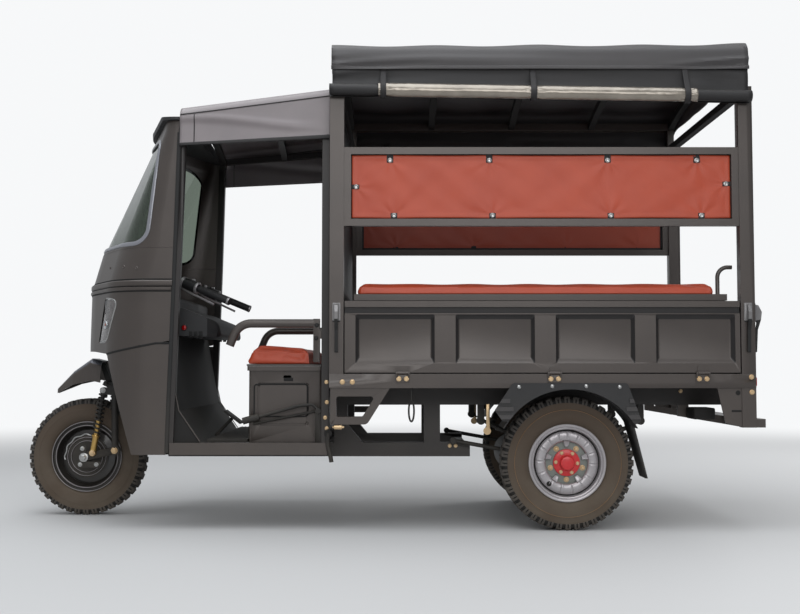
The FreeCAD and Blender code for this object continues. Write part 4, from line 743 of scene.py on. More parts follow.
# %% Folds of the canopy
def roof_fold(co):
    """Sag between the bows, long folds on the sides, and creases that run into the corners."""
    along = (co.x - ROOF_X0) / (ROOF_X1 - ROOF_X0)
    bay = (along * BAY_COUNT) % 1.0
    inner = 1.0 - smooth_step(ROOF_HALF - 0.06, ROOF_HALF + 0.01, abs(co.y))
    slack = math.sin(math.pi * bay) ** 2
    side = 1.0 if co.y > 0 else -1.0
    hanging = smooth_step(0.0, 0.035, ROOF_TOP - 0.045 - co.z) * smooth_step(0.5, 0.64, abs(co.y))
    long_fold = noise.noise(Vector((co.x * 1.1, side * 4.0, co.z * 24)))
    crease_at = co.z * 1.0 - (along - 0.5) * 0.16
    crease = math.sin(crease_at * 150 + 2.2 * noise.noise(Vector((co.x * 2.2, side, 3.0))))
    to_end = smooth_step(0.22, 0.5, abs(along - 0.5))
    bulge = 0.0045 + 0.0085 * long_fold + 0.0048 * crease * to_end
    ripple = noise.noise(Vector((co.x * 3.0, co.y * 2.0, 7.0)))
    lift = 0.009 + 0.010 * along ** 2
    top_z = co.z + inner * (lift - BAY_SAG * slack + 0.005 * ripple)
    return Vector((co.x, co.y + side * hanging * bulge, top_z))


def turn_down_end(bm, x, steps=5):
    """Extrudes the crown's end edges down to the end hem, as the sheet folds over its last bow."""
    edges = [e for e in bm.edges if all(abs(v.co.x - x) < 1e-5 and v.co.z > EDGE_Z + 0.012
                                        for v in e.verts)]
    for step in range(steps):
        verts, edges = new_row(bmesh.ops.extrude_edge_only(bm, edges=edges))
        for vert in verts:
            top = roof_height(vert.co.y)
            share = (step + 1) / steps
            wave = 0.004 * math.sin(vert.co.y * 21) * share
            outward = 1.0 if x > 0 else -1.0
            vert.co.z = top + (END_Z - top) * share
            vert.co.x = x + outward * min(0.0, wave)


# %% Canopy roof sheet
def build_roof():
    half = half_roof_section()
    section = half + [(-y, z) for y, z in reversed(half[:-1])]
    steps = 88
    bm = bmesh.new()
    row = edge_row(bm, [(ROOF_X0, y, z) for y, z in section])
    pull(bm, row, ((ROOF_X1 - ROOF_X0) / steps, 0, 0), steps)
    turn_down_end(bm, ROOF_X0)
    turn_down_end(bm, ROOF_X1)
    bmesh.ops.remove_doubles(bm, verts=bm.verts, dist=0.0001)
    move_all(bm, roof_fold)
    area = cloth_area(bm)
    piece = add_cloth(bm, "canopy_roof", "chassis", tarpaulin)
    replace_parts(piece, "canopy_tarp")


build_roof()

# %% [markdown]
# The hem is the same cloth turned up and stitched, so it stands a little proud of the side.


# %% Canopy hems
HEM_DEPTH = 0.014


def build_roof_hem(side):
    steps = 88
    bm = bmesh.new()
    heights = [HEM_Z - 0.001, HEM_Z + 0.004, HEM_Z + 0.009, HEM_Z + HEM_DEPTH]
    row = edge_row(bm, [(ROOF_X0 - 0.001, side * ROOF_HALF, z) for z in heights])
    pull(bm, row, ((ROOF_X1 - ROOF_X0 + 0.002) / steps, 0, 0), steps)
    move_all(bm, lambda co: roof_fold(co) + Vector((0, side * 0.0016, 0)))
    name = side_name("canopy_hem", side)
    add_cloth(bm, name, "chassis", tarpaulin, thickness=0.0026)


for side in (-1, 1):
    build_roof_hem(side)

# %% [markdown]
# ## The side curtains, rolled up
# Each side curtain hangs from under the roof's hem, and its lower part is rolled up and held by three
# straps. The dark cloth shows at both ends of the roll. Between them its clear film is wrapped outermost,
# and it shines like crumpled foil. The roll is a spiral pulled along the bed, so its ends show turns.

# %% Curtain sizes
roll_low, roll_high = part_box("side_curtains")
ROLL_R = 0.031
ROLL_OUT = roll_high.y - ROLL_R
ROLL_X0, ROLL_X1 = roll_low.x, roll_high.x
ROLL_Z0, ROLL_Z1 = roll_high.z - ROLL_R, roll_low.z + ROLL_R
FILM_X0, FILM_X1 = 0.017, 1.367
STRAPS_AT = (0.038, 0.675, 1.325)
STRAP_W = 0.025
print("roll sinks", round(ROLL_Z0 - ROLL_Z1, 3), "m to the rear")


def roll_axis_z(x):
    return ROLL_Z0 + (ROLL_Z1 - ROLL_Z0) * (x - ROLL_X0) / (ROLL_X1 - ROLL_X0)


def strap_pinch(x):
    """How far the roll is drawn in at x: 1 under a strap, 0 away from all of them."""
    return max(math.exp(-((x - at) / 0.030) ** 2) for at in STRAPS_AT)


# %% Hanging part of a curtain
def build_curtain_drop(side):
    steps, rows = 96, 9
    top_z, top_out = HEM_Z + 0.012, ROOF_HALF - 0.0065
    bm = bmesh.new()
    row = edge_row(bm, [(ROOF_X0 + 0.004, 0, i / rows) for i in range(rows + 1)])
    pull(bm, row, ((ROOF_X1 - ROOF_X0 - 0.008) / steps, 0, 0), steps)

    def hang(co):
        drop = co.z
        low_z = roll_axis_z(co.x) + ROLL_R * 0.7
        along = (co.x - ROOF_X0) / (ROOF_X1 - ROOF_X0)
        to_end = smooth_step(0.30, 0.5, abs(along - 0.5))
        swing = drop * 4.2 + (along if along < 0.5 else 1 - along) * 34
        crease = math.sin(swing) * to_end
        fold = noise.noise(Vector((co.x * 2.4, side * 9.0, drop * 2.6)))
        out = top_out + 0.014 * drop ** 2 + math.sin(math.pi * drop) * (0.008 * fold + 0.008 * crease)
        out -= 0.006 * strap_pinch(co.x) * math.sin(math.pi * drop)
        return Vector((co.x, side * max(out, top_out - 0.001), top_z + (low_z - top_z) * drop))

    move_all(bm, hang)
    depth = cloth_area(bm) / (ROOF_X1 - ROOF_X0)
    name = side_name("side_curtain", side)
    piece = add_cloth(bm, name, "chassis", tarpaulin_dark_and_shaded)
    print(name, "hangs", round(depth, 3), "m deep")


# %% Rolled part of a curtain
SPIRAL_TURNS = 3.2


def build_curtain_roll(side):
    """The dark cloth wound on itself, its outer turn tangent to the part that hangs."""
    steps, count = 84, 76
    bm = bmesh.new()
    points = []
    for i in range(count + 1):
        share = i / count
        angle = 2 * math.pi * SPIRAL_TURNS * share
        radius = ROLL_R * (0.30 + 0.62 * share)
        points.append((ROLL_X0, side * (ROLL_OUT - radius * math.cos(angle)),
                       ROLL_Z0 - radius * math.sin(angle)))
    row = edge_row(bm, points)
    pull(bm, row, ((ROLL_X1 - ROLL_X0) / steps, 0, 0), steps)

    def settle(co):
        centre = Vector((co.x, side * ROLL_OUT, ROLL_Z0))
        spoke = co - centre
        lumps = noise.noise(Vector((co.x * 5, math.atan2(spoke.z, spoke.y) * 0.8, side * 2.0)))
        spoke *= 1 - 0.16 * strap_pinch(co.x) + 0.04 * lumps
        return Vector((co.x, centre.y + spoke.y, roll_axis_z(co.x) + spoke.z))

    move_all(bm, settle)
    name = side_name("curtain_roll", side)
    piece = add_cloth(bm, name, "chassis", tarpaulin_dark_and_shaded, thickness=0.001)
    return piece


# %% Clear film on the roll
def build_film(side):
    steps, count = 210, 30
    start, sweep = math.radians(-38), math.radians(196)
    radius = ROLL_R * 0.965
    bm = bmesh.new()
    points = [(FILM_X0, start + sweep * i / count, 0.0) for i in range(count + 1)]
    row = edge_row(bm, points)
    pull(bm, row, ((FILM_X1 - FILM_X0) / steps, 0, 0), steps)

    def wrap(co):
        angle = co.y
        along = co.x * 16
        creases = noise.noise(Vector((along, angle * 2.3, side * 3.0 + 1.0)))
        sharp = 1 - 2 * abs(noise.noise(Vector((along * 1.7, angle * 3.1, 5.0))))
        pinch = strap_pinch(co.x)
        lump = 0.0016 * creases + 0.0016 * sharp + 0.0010 * pinch * sharp
        out = radius * (1 - 0.14 * pinch) + 0.0015 + lump * (0.35 + 1.2 * pinch)
        return Vector((co.x, side * (ROLL_OUT + out * math.sin(angle)),
                       roll_axis_z(co.x) + out * math.cos(angle)))

    move_all(bm, wrap)
    name = side_name("curtain_film", side)
    piece = add_cloth(bm, name, "chassis", silver_film, thickness=0.0006)


# %% Straps round the roll
def build_straps(side):
    bm = bmesh.new()
    for at in STRAPS_AT:
        axis_z = roll_axis_z(at)
        radius = ROLL_R + 0.0022
        path = [(ROOF_HALF - 0.002, HEM_Z + 0.010), (ROOF_HALF + 0.001, HEM_Z - 0.012)]
        for i in range(15):
            angle = math.radians(48 + 210 * i / 14)
            path.append((ROLL_OUT + radius * math.sin(angle), axis_z + radius * math.cos(angle)))
        path.append((ROOF_HALF - 0.0075, axis_z + ROLL_R * 1.05))
        row = edge_row(bm, [(at - STRAP_W / 2, side * out, z) for out, z in path])
        pull(bm, row, (STRAP_W / 4, 0, 0), 4)
    name = side_name("curtain_straps", side)
    add_cloth(bm, name, "chassis", webbing, thickness=0.0018)


for side in (-1, 1):
    build_curtain_drop(side)
    roll = build_curtain_roll(side)
    if side < 0:
        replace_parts(roll, "side_curtains")
    build_film(side)
    build_straps(side)

# %% [markdown]
# ## The curtain behind the cab
# One more curtain closes the front of the bed. It hangs free from its rail, so it has upright folds that
# deepen towards its foot.


# %% Front curtain
def build_front_curtain():
    half, top = 0.598, ROOF_TOP - 0.080 - 0.150
    steps, rows = 110, 14
    bm = bmesh.new()
    row = edge_row(bm, [(-0.154, -half, roof_low.z + (top - roof_low.z) * i / rows)
                        for i in range(rows + 1)])
    pull(bm, row, (0, 2 * half / steps, 0), steps)

    def hang(co):
        low = (top - co.z) / (top - roof_low.z)
        fold = math.sin(co.y * 46 + 2.0 * noise.noise(Vector((co.y * 3, co.z, 0.0))))
        return co + Vector((0.006 * fold * (0.25 + 0.75 * low), 0, 0))

    move_all(bm, hang)
    piece = add_cloth(bm, "front_curtain", "chassis", tarpaulin_dark_and_shaded)
    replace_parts(piece, "canopy_tarp")


build_front_curtain()

# %% [markdown]
# ## The cab's own roof
# A tarpaulin covers the cab; its colour is painted lighter than the bed's, a painted reflection of the sky
# on its sloped cloth. Its shoulder climbs from the visor to the bed, its side is one panel with a welt along
# every seam, and one soft fold runs from the front corner down to the hem.

# %% Cab roof sizes
cab_low, cab_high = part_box("cab_roof_tarp")
CAB_X0, CAB_X1 = cab_low.x, cab_high.x
CAB_HALF = cab_high.y - 0.0015
CAB_EDGE_FRONT, CAB_EDGE_REAR = 1.836, 1.921
CAB_HEM_FRONT, CAB_HEM_REAR = 1.657, 1.689
CAB_CROWN = 0.034
CAB_SHOULDER = 0.052


def between(x, front, rear):
    return front + (rear - front) * (x - CAB_X0) / (CAB_X1 - CAB_X0)


def cab_section(share):
    """A place in the half section as (inward from the side, height from hem 0 to edge 1, lift)."""
    if share <= 0.5:
        up = share / 0.5
        return 0.006 * up, up, 0.0
    turn = math.radians(90 * min(1.0, (share - 0.5) / 0.2))
    if share <= 0.7:
        return 0.006 + 0.044 * (1 - math.cos(turn)), 1.0, 0.044 * math.sin(turn)
    across = (share - 0.7) / 0.3
    return 0.050 + (CAB_HALF - 0.050) * across, 1.0, 0.044 + CAB_CROWN * (1 - (1 - across) ** 2)


def cab_point(x, share, side):
    """A point of the cab roof sheet, with its folds."""
    inward, up, lift = cab_section(share)
    hem = between(x, CAB_HEM_FRONT, CAB_HEM_REAR)
    edge = between(x, CAB_EDGE_FRONT, CAB_EDGE_REAR) - CAB_SHOULDER
    along = (x - CAB_X0) / (CAB_X1 - CAB_X0)
    z = hem + (edge - hem) * up + lift
    side_part = 1 - smooth_step(0.5, 0.62, share)
    ridge_at = 0.93 - 0.62 * smooth_step(-0.05, 0.95, along)
    ridge = math.exp(-((up - ridge_at) / 0.13) ** 2) * (1 - smooth_step(0.7, 1.05, along))
    belly = math.sin(math.pi * min(1.0, up)) * math.sin(math.pi * along)
    soft = noise.noise(Vector((x * 5, side * 6.0, z * 7)))
    out = side_part * (0.0085 * ridge - 0.004 * belly + 0.0015 * soft)
    sag = smooth_step(0.72, 0.95, share) * 0.010 * math.sin(2 * math.pi * along) ** 2
    return Vector((x, side * (CAB_HALF - inward + out), z - sag))


# %% Cab roof sheet
def build_cab_roof():
    shares = [i / 20 * 0.5 for i in range(21)] + [0.5 + 0.2 * i / 6 for i in range(1, 7)]
    shares += [0.7 + 0.3 * i / 12 for i in range(1, 13)]
    places = [(share, -1) for share in shares] + [(share, 1) for share in reversed(shares[:-1])]
    steps = 60
    bm = bmesh.new()
    row = edge_row(bm, [(CAB_X0, i, 0) for i in range(len(places))])
    pull(bm, row, ((CAB_X1 - CAB_X0) / steps, 0, 0), steps)
    move_all(bm, lambda co: cab_point(co.x, *places[round(co.y)]))
    girth = sum((cab_point(-0.5, *a) - cab_point(-0.5, *b)).length for a, b in zip(places, places[1:]))
    bmesh.ops.remove_doubles(bm, verts=bm.verts, dist=0.0001)
    piece = add_cloth(bm, "cab_roof", "chassis", cab_tarpaulin_painted_skylight)
    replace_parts(piece, "cab_roof_tarp")


build_cab_roof()


# %% Cab roof back panel
def build_cab_back():
    """The sheet's rear end, turned down behind the last bow."""
    x = CAB_X1 - 0.001
    bm = bmesh.new()
    shares = [0.5 + 0.2 * i / 4 for i in range(5)] + [0.7 + 0.3 * i / 12 for i in range(1, 13)]
    tops = [cab_point(x, share, -1) for share in shares]
    tops += [Vector((p.x, -p.y, p.z)) for p in reversed(tops[:-1])]
    row = edge_row(bm, tops)
    rows = 8
    for step in range(rows):
        verts, row = new_row(bmesh.ops.extrude_edge_only(bm, edges=row))
        for vert in verts:
            full = CAB_EDGE_REAR - CAB_SHOULDER + 0.02 - CAB_HEM_REAR
            vert.co.z -= (full / rows) * (0.6 + 0.4 * smooth_step(0, rows, step))
            vert.co.x = x + 0.001 - 0.004 * abs(math.sin(vert.co.y * 7)) * (step + 1) / rows
    piece = add_cloth(bm, "cab_roof_back", "chassis", cab_tarpaulin_painted_skylight)


build_cab_back()

# %% [markdown]
# Welts are cords sewn into a seam. A curve with a round bevel makes one, turned into a mesh at once so
# that its finish can be placed on it. The hem is a darker folded band.


# %% Tube helper
def tube_mesh(name, points, radius, closed=False, smooth=True, resolution=3):
    """A mesh tube that follows points, round in section."""
    curve = bpy.data.curves.new(name + "_line", "CURVE")
    curve.dimensions = "3D"
    curve.bevel_depth = radius
    curve.bevel_resolution = resolution
    curve.use_fill_caps = not closed
    curve.resolution_u = 6
    line = curve.splines.new("NURBS" if smooth else "POLY")
    line.points.add(len(points) - 1)
    for place, point in zip(line.points, points):
        place.co = (*point, 1)
    if smooth:
        line.order_u = 3
        line.use_endpoint_u = not closed
    line.use_cyclic_u = closed
    holder = bpy.data.objects.new(name + "_holder", curve)
    mesh = bpy.data.meshes.new_from_object(holder)
    bpy.data.objects.remove(holder)
    bpy.data.curves.remove(curve)
    return mesh


def add_tubes(name, runs, body, material, resolution=3):
    """One piece made of several tubes; each run is (points, radius, closed, smooth)."""
    bm = bmesh.new()
    for points, radius, closed, smooth in runs:
        mesh = tube_mesh(name, points, radius, closed, smooth, resolution)
        bm.from_mesh(mesh)
        bpy.data.meshes.remove(mesh)
    bmesh.ops.remove_doubles(bm, verts=bm.verts, dist=0.00001)
    return add_piece(bm, name, body, material)


# %% Cab roof welts and hem
def build_cab_seams():
    xs = [CAB_X0 + 0.001 + (CAB_X1 - CAB_X0 - 0.002) * i / 24 for i in range(25)]
    runs = []
    for side in (-1, 1):
        runs.append(([cab_point(x, 0.52, side) + Vector((0, side * 0.001, 0)) for x in xs], 0.0026,
                     False, True))
        for x in (CAB_X0 + 0.062, CAB_X1 - 0.004):
            rise = [cab_point(x, 0.5 * i / 10, side) + Vector((0, side * 0.001, 0)) for i in range(11)]
            runs.append((rise, 0.0022, False, True))
    add_tubes("cab_roof_welts", runs, "chassis", tarpaulin_dark_and_shaded)
    bm = bmesh.new()
    for side in (-1, 1):
        row = edge_row(bm, [(CAB_X0 - 0.002, i, side) for i in range(4)])
        pull(bm, row, ((CAB_X1 - CAB_X0 + 0.003) / 60, 0, 0), 60)

    def lie(co):
        at = cab_point(min(max(co.x, CAB_X0), CAB_X1), 0.5 * co.y * 0.032, co.z)
        return Vector((co.x, at.y + co.z * 0.0016, at.z - 0.002))

    move_all(bm, lie)
    add_cloth(bm, "cab_roof_hem", "chassis", tarpaulin_dark_and_shaded, thickness=0.003)


build_cab_seams()

# %% [markdown]
# ## Turned forms and fasteners
# Tyres, rims, eyelets and bolt heads are all an outline spun about an axis. The spin closes on itself with
# use_merge, and points that lie on the axis are merged into one. A nut is the same spin in six steps.


# %% Turning helpers
def turn(bm, outline, place=(0, 0, 0), axis=(0, 0, 1), steps=24, closed=False):
    """Spins an outline of (radius, height) points about an axis through place."""
    old = set(bm.verts)
    row = edge_row(bm, [(radius, 0, height) for radius, height in outline], closed)
    ends = list({vert for edge in row for vert in edge.verts})
    bmesh.ops.spin(bm, geom=row + ends, cent=(0, 0, 0), axis=(0, 0, 1), dvec=(0, 0, 0),
                   angle=2 * math.pi, steps=steps, use_merge=True, use_duplicate=False)
    fresh = [vert for vert in bm.verts if vert not in old]
    stand = Matrix.Translation(place) @ Vector(axis).to_track_quat("Z", "Y").to_matrix().to_4x4()
    bmesh.ops.transform(bm, matrix=stand, verts=fresh)
    bmesh.ops.remove_doubles(bm, verts=fresh, dist=0.00001)


def bolt_head(bm, place, axis, radius, height=None, washer=1.4):
    """A hexagon head on its washer, standing out along axis."""
    tall = height or radius * 0.9
    plate = min(0.0016, tall * 0.2)
    turn(bm, [(0, plate), (radius * washer * 0.94, plate), (radius * washer, plate * 0.6),
              (radius * washer, -0.0005)], place, axis, 18)
    turn(bm, [(0, tall), (radius * 0.80, tall), (radius, tall * 0.80), (radius, 0)], place, axis, 6)


def round_head(bm, place, axis, radius, height):
    """A domed rivet or screw head."""
    turn(bm, [(0, height), (radius * 0.45, height * 0.93), (radius * 0.8, height * 0.62),
              (radius, height * 0.1), (radius, -0.0005)], place, axis, 14)


def block(bm, low, high, round_off=0.0):
    """A box with rounded edges between two corners."""
    made = bmesh.ops.create_cube(bm, size=1.0)
    middle = (Vector(low) + Vector(high)) / 2
    bmesh.ops.scale(bm, vec=Vector(high) - Vector(low), verts=made["verts"])
    bmesh.ops.translate(bm, vec=middle, verts=made["verts"])
    if round_off:
        edges = list({edge for vert in made["verts"] for edge in vert.link_edges})
        bevel(bm, edges, round_off, 2)


# %% [markdown]
# ## Backrest panels
# Each backrest is a vinyl sheet laced into its frame by eyelets. Between two eyelets its edge is drawn in
# a little, its hem stands proud, and the pull of the eyelets leaves rays and slow diagonal wrinkles.

# %% Panel sizes
panel_low, panel_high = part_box("backrest_panels")
PANEL_OUT = panel_high.y - 0.005
PANEL_X0, PANEL_X1 = panel_low.x + 0.003, panel_high.x - 0.003
PANEL_Z0, PANEL_Z1 = panel_low.z + 0.002, panel_high.z - 0.002
HEM_W = 0.017
TOP_EYES = (0.066, 0.490, 0.995, 1.376)
LOW_EYES = (0.083, 0.503, 1.007, 1.393)
EYES = [(x, 1.579) for x in TOP_EYES] + [(x, 1.343) for x in LOW_EYES]
EYES += [(PANEL_X0 + 0.018, 1.465), (PANEL_X1 - 0.018, 1.478)]
print("panel", round(PANEL_X1 - PANEL_X0, 3), "by", round(PANEL_Z1 - PANEL_Z0, 3), "m")


def panel_wrinkle(x, z):
    """How far the sheet stands out: rays round every eyelet, and diagonals between them."""
    rays = 0.0
    for eye_x, eye_z in EYES:
        reach = math.hypot(x - eye_x, z - eye_z)
        angle = math.atan2(z - eye_z, x - eye_x)
        rays += math.exp(-reach / 0.07) * math.sin(angle * 7 + eye_x * 5) * min(1.0, reach / 0.02)
    rising = noise.noise(Vector(((x + 1.3 * z) * 9, (x - z) * 1.5, 1.0)))
    falling = noise.noise(Vector(((x - 1.3 * z) * 9, (x + z) * 1.5, 8.0)))
    return 0.0020 * rays + 0.0030 * rising + 0.0024 * falling


def panel_edge(x, z):
    """How far the top or bottom edge is drawn in between its eyelets."""
    row = TOP_EYES if z > 1.46 else LOW_EYES
    nearest = min(abs(x - eye) for eye in row)
    return 0.0022 * (1 - math.exp(-(nearest / 0.09) ** 2))


# %% Vinyl panels
def build_panel(side):
    columns, rows = 240, 40
    bm = bmesh.new()
    row = edge_row(bm, [(PANEL_X0, 0, PANEL_Z0 + (PANEL_Z1 - PANEL_Z0) * i / rows)
                        for i in range(rows + 1)])
    pull(bm, row, ((PANEL_X1 - PANEL_X0) / columns, 0, 0), columns)
    middle = (PANEL_Z0 + PANEL_Z1) / 2

    def stretch(co):
        up = 1.0 if co.z > middle else -1.0
        share = abs(co.z - middle) / (PANEL_Z1 - middle)
        inset = min(co.x - PANEL_X0, PANEL_X1 - co.x, PANEL_Z1 - co.z, co.z - PANEL_Z0)
        hem = 0.0012 * (1 - smooth_step(HEM_W - 0.003, HEM_W, inset))
        free = smooth_step(0.0, 0.05, inset)
        depth = hem + panel_wrinkle(co.x, co.z) * (0.25 + 0.75 * free)
        return Vector((co.x, side * (PANEL_OUT + 0.001 + depth),
                       co.z - up * panel_edge(co.x, co.z) * smooth_step(0.6, 1.0, share)))

    move_all(bm, stretch)
    name = side_name("backrest_panel", side)
    piece = add_cloth(bm, name, "chassis", orange_vinyl, thickness=0.003)
    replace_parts(piece, "backrest_panels")


# %% Eyelets
EYE_OUTLINE = [(0, 0.0014), (0.0034, 0.0016), (0.0048, 0.0034), (0.0072, 0.0048), (0.0098, 0.0040),
               (0.0112, 0.0014), (0.0114, -0.0010)]
TAB_HALF = 0.0140


def build_eyelets(side):
    domes, tabs = bmesh.new(), bmesh.new()
    for eye_x, eye_z in EYES:
        depth = panel_wrinkle(eye_x, eye_z) * 0.4
        out = PANEL_OUT + 0.0035 + depth
        turn(domes, EYE_OUTLINE, (eye_x, side * out, eye_z), (0, side, 0), 20)
        low = [eye_x - TAB_HALF, PANEL_OUT + 0.0005, eye_z - 0.010]
        high = [eye_x + TAB_HALF, out + 0.0008, eye_z + 0.010]
        if eye_z > 1.55:
            high[2] = PANEL_Z1 + 0.010
        elif eye_z < 1.36:
            low[2] = PANEL_Z0 - 0.008
        elif eye_x < 0:
            low[0] = PANEL_X0 - 0.008
        else:
            high[0] = PANEL_X1 + 0.008
        low[1], high[1] = sorted((side * low[1], side * high[1]))
        block(tabs, low, high, 0.0009)
    add_piece(domes, side_name("eyelets", side), "chassis", plated_steel)
    add_piece(tabs, side_name("eyelet_tabs", side), "chassis", webbing)


def build_panel_gap_shade(side):
    """A dark strip behind the sheet's edge is painted shade: it closes the slit between sheet and tube and
    stands for the shade in it.
    """
    bm = bmesh.new()
    low, high = y_span(side, PANEL_OUT - 0.0050, PANEL_OUT - 0.0020)
    x0, x1, z0, z1 = PANEL_X0 - 0.003, PANEL_X1 + 0.003, PANEL_Z0 - 0.002, PANEL_Z1 + 0.002
    for a0, a1, b0, b1 in ((x0, x1, z0, z0 + 0.010), (x0, x1, z1 - 0.010, z1),
                           (x0, x0 + 0.010, z0, z1), (x1 - 0.010, x1, z0, z1)):
        block(bm, (a0, low, b0), (a1, high, b1))
    add_piece(bm, side_name("panel_gap_shade", side), "chassis", webbing)


for side in (-1, 1):
    build_panel(side)
    build_eyelets(side)
    build_panel_gap_shade(side)

# %% [markdown]
# ## Cushions
# A cushion is foam inside a sewn cover. Its solid is remeshed into an even skin, started a little small,
# and blown up as cloth with no gravity, so its top crowns and its sides pull in between the corners. How
# far a point may go is capped, and its foot stays flat on what carries it. The seams come last.

# %% Cushion maker
CLOTH_FRAMES = 20


def skin_of(node, keep, inset, voxel):
    """One solid of a node as an evenly meshed skin that starts a little small."""
    bm = node_copy(node)
    bmesh.ops.delete(bm, geom=[v for v in bm.verts if not keep(v.co)], context="VERTS")
    low = Vector([min(v.co[i] for v in bm.verts) for i in range(3)])
    high = Vector([max(v.co[i] for v in bm.verts) for i in range(3)])
    middle = Vector(((low.x + high.x) / 2, (low.y + high.y) / 2, low.z))
    for vert in bm.verts:
        for i in range(3):
            size = high[i] - low[i]
            share = 1 - (inset if i == 2 else 2 * inset) / size
            vert.co[i] = middle[i] + (vert.co[i] - middle[i]) * share
    mesh = bpy.data.meshes.new(node + "_skin")
    bm.to_mesh(mesh)
    bm.free()
    skin = bpy.data.objects.new(node + "_skin", mesh)
    bpy.context.scene.collection.objects.link(skin)
    remesh = skin.modifiers.new("even", "REMESH")
    remesh.mode = "VOXEL"
    remesh.voxel_size = voxel
    return skin, low, high


def mesh_of(thing):
    shaped = thing.evaluated_get(bpy.context.evaluated_depsgraph_get())
    return bpy.data.meshes.new_from_object(shaped)


def blow_up(skin, low, voxel, pressure, cap):
    """Inflates a skin as cloth, foot held, and gives the capped result as a mesh."""
    even = mesh_of(skin)
    skin.modifiers.clear()
    skin.data = even
    rest = [vert.co.copy() for vert in even.vertices]
    foot = skin.vertex_groups.new(name="foot")
    foot.add([i for i, co in enumerate(rest) if co.z < low.z + voxel * 0.6], 1.0, "REPLACE")
    cloth = skin.modifiers.new("foam", "CLOTH")
    cloth.settings.quality = 5
    cloth.settings.mass = 0.3
    cloth.settings.use_pressure = True
    cloth.settings.uniform_pressure_force = pressure
    cloth.settings.vertex_group_mass = "foot"
    cloth.settings.effector_weights.gravity = 0
    cloth.collision_settings.use_collision = False
    for frame_number in range(1, CLOTH_FRAMES + 1):
        bpy.context.scene.frame_set(frame_number)
    swollen = mesh_of(skin)
    bpy.context.scene.frame_set(1)
    skin.modifiers.clear()
    for vert, start in zip(swollen.vertices, rest):
        step = vert.co - start
        if step.length > cap:
            vert.co = start + step * (cap / step.length)
    return swollen


def make_cushion(node, name, body, keep, voxel, pressure, cap, inset, shape, mirror=False):
    """The finished cushion: blown up, kept in its own room, shaped by its seams, one subdivision."""
    skin, low, high = skin_of(node, keep, inset, voxel)
    mesh = blow_up(skin, low, voxel, pressure, cap)
    bpy.data.objects.remove(skin)
    bm = bmesh.new()
    bm.from_mesh(mesh)
    bmesh.ops.smooth_vert(bm, verts=bm.verts, factor=0.5, use_axis_x=True, use_axis_y=True,
                          use_axis_z=True)
    bmesh.ops.subdivide_edges(bm, edges=bm.edges, cuts=1, use_grid_fill=True, smooth=0.0)
    bmesh.ops.smooth_vert(bm, verts=bm.verts, factor=0.5, use_axis_x=True, use_axis_y=True,
                          use_axis_z=True)
    for vert in bm.verts:
        co = shape(vert.co.copy(), low, high)
        vert.co = Vector([min(high[i] + 0.004, max(low[i] - 0.004, co[i])) for i in range(3)])
        vert.co.z = max(vert.co.z, low.z)
    pieces = []
    for side in ((-1, 1) if mirror else (-1,)):
        copy = bm.copy()
        if side > 0:
            bmesh.ops.scale(copy, vec=(1, -1, 1), verts=copy.verts)
        label = side_name(name, side) if mirror else name
        piece = add_piece(copy, label, body, orange_vinyl)
        piece.data.set_sharp_from_angle(angle=math.radians(60))
        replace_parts(piece, node)
        pieces.append(piece)
    print(name, "faces", len(bm.faces))
    bm.free()
    return pieces, low, high


# %% Bench cushions
def bench_shape(co, low, high):
    """Crown across the bench, soft hollows where people sit, a sewn edge round the top."""
    middle_y = (low.y + high.y) / 2
    across = (co.y - middle_y) / ((high.y - low.y) / 2)
    top = smooth_step(low.z + 0.020, high.z - 0.004, co.z)
    hollow = 0.0035 * math.sin((co.x - low.x) * 12.6) ** 2 + 0.002 * noise.noise(co * 7)
    co.z -= top * (0.007 * across ** 2 + hollow * (1 - across ** 2))
    seam_at = high.z - 0.013
    pinch = 0.0035 * math.exp(-((co.z - seam_at) / 0.0028) ** 2)
    if abs(across) > 0.9:
        co.y -= math.copysign(pinch, across)
    end = (co.x - (low.x + high.x) / 2) / ((high.x - low.x) / 2)
    if abs(end) > 0.985:
        co.x -= math.copysign(pinch, end)
    return co


make_cushion("bench_cushions", "bench_cushion", "chassis", lambda co: co.y < 0, 0.010, 4.0, 0.010,
             0.004, bench_shape, mirror=True)


# %% Driver's cushion
def seat_shape(co, low, high):
    """A long roll of a cushion: highest near its front, a stitched nose, slight puckers at the seam."""
    along = (co.x - low.x) / (high.x - low.x)
    side = abs(co.y) / high.y
    top = smooth_step(low.z + 0.030, high.z, co.z)
    co.z -= top * (0.004 * smooth_step(0.30, 1.0, along) + 0.006 * smooth_step(0.22, 0.0, along)
                   + 0.003 * smooth_step(0.86, 1.0, side))
    pucker = 0.5 + 0.5 * math.sin(co.y * 150)
    seam_z = low.z + 0.052
    pinch = (0.003 + 0.0015 * pucker) * math.exp(-((co.z - seam_z) / 0.0035) ** 2)
    if along < 0.12:
        co.x += pinch
    if side > 0.96:
        co.y -= math.copysign(pinch, co.y)
    co.z += 0.0016 * top * noise.noise(co * 9)
    return co


make_cushion("seat_cushion", "driver_cushion", body_of("seat_cushion"), lambda co: True, 0.008,
             4.0, 0.012, 0.005, seat_shape)

# %% [markdown]
# ## Tyres
# A tyre is one closed outline spun about its axle. The tread is cut from blocks: a crown block with two
# legs that run down the shoulder, repeated 44 times on each side, half a pitch apart.

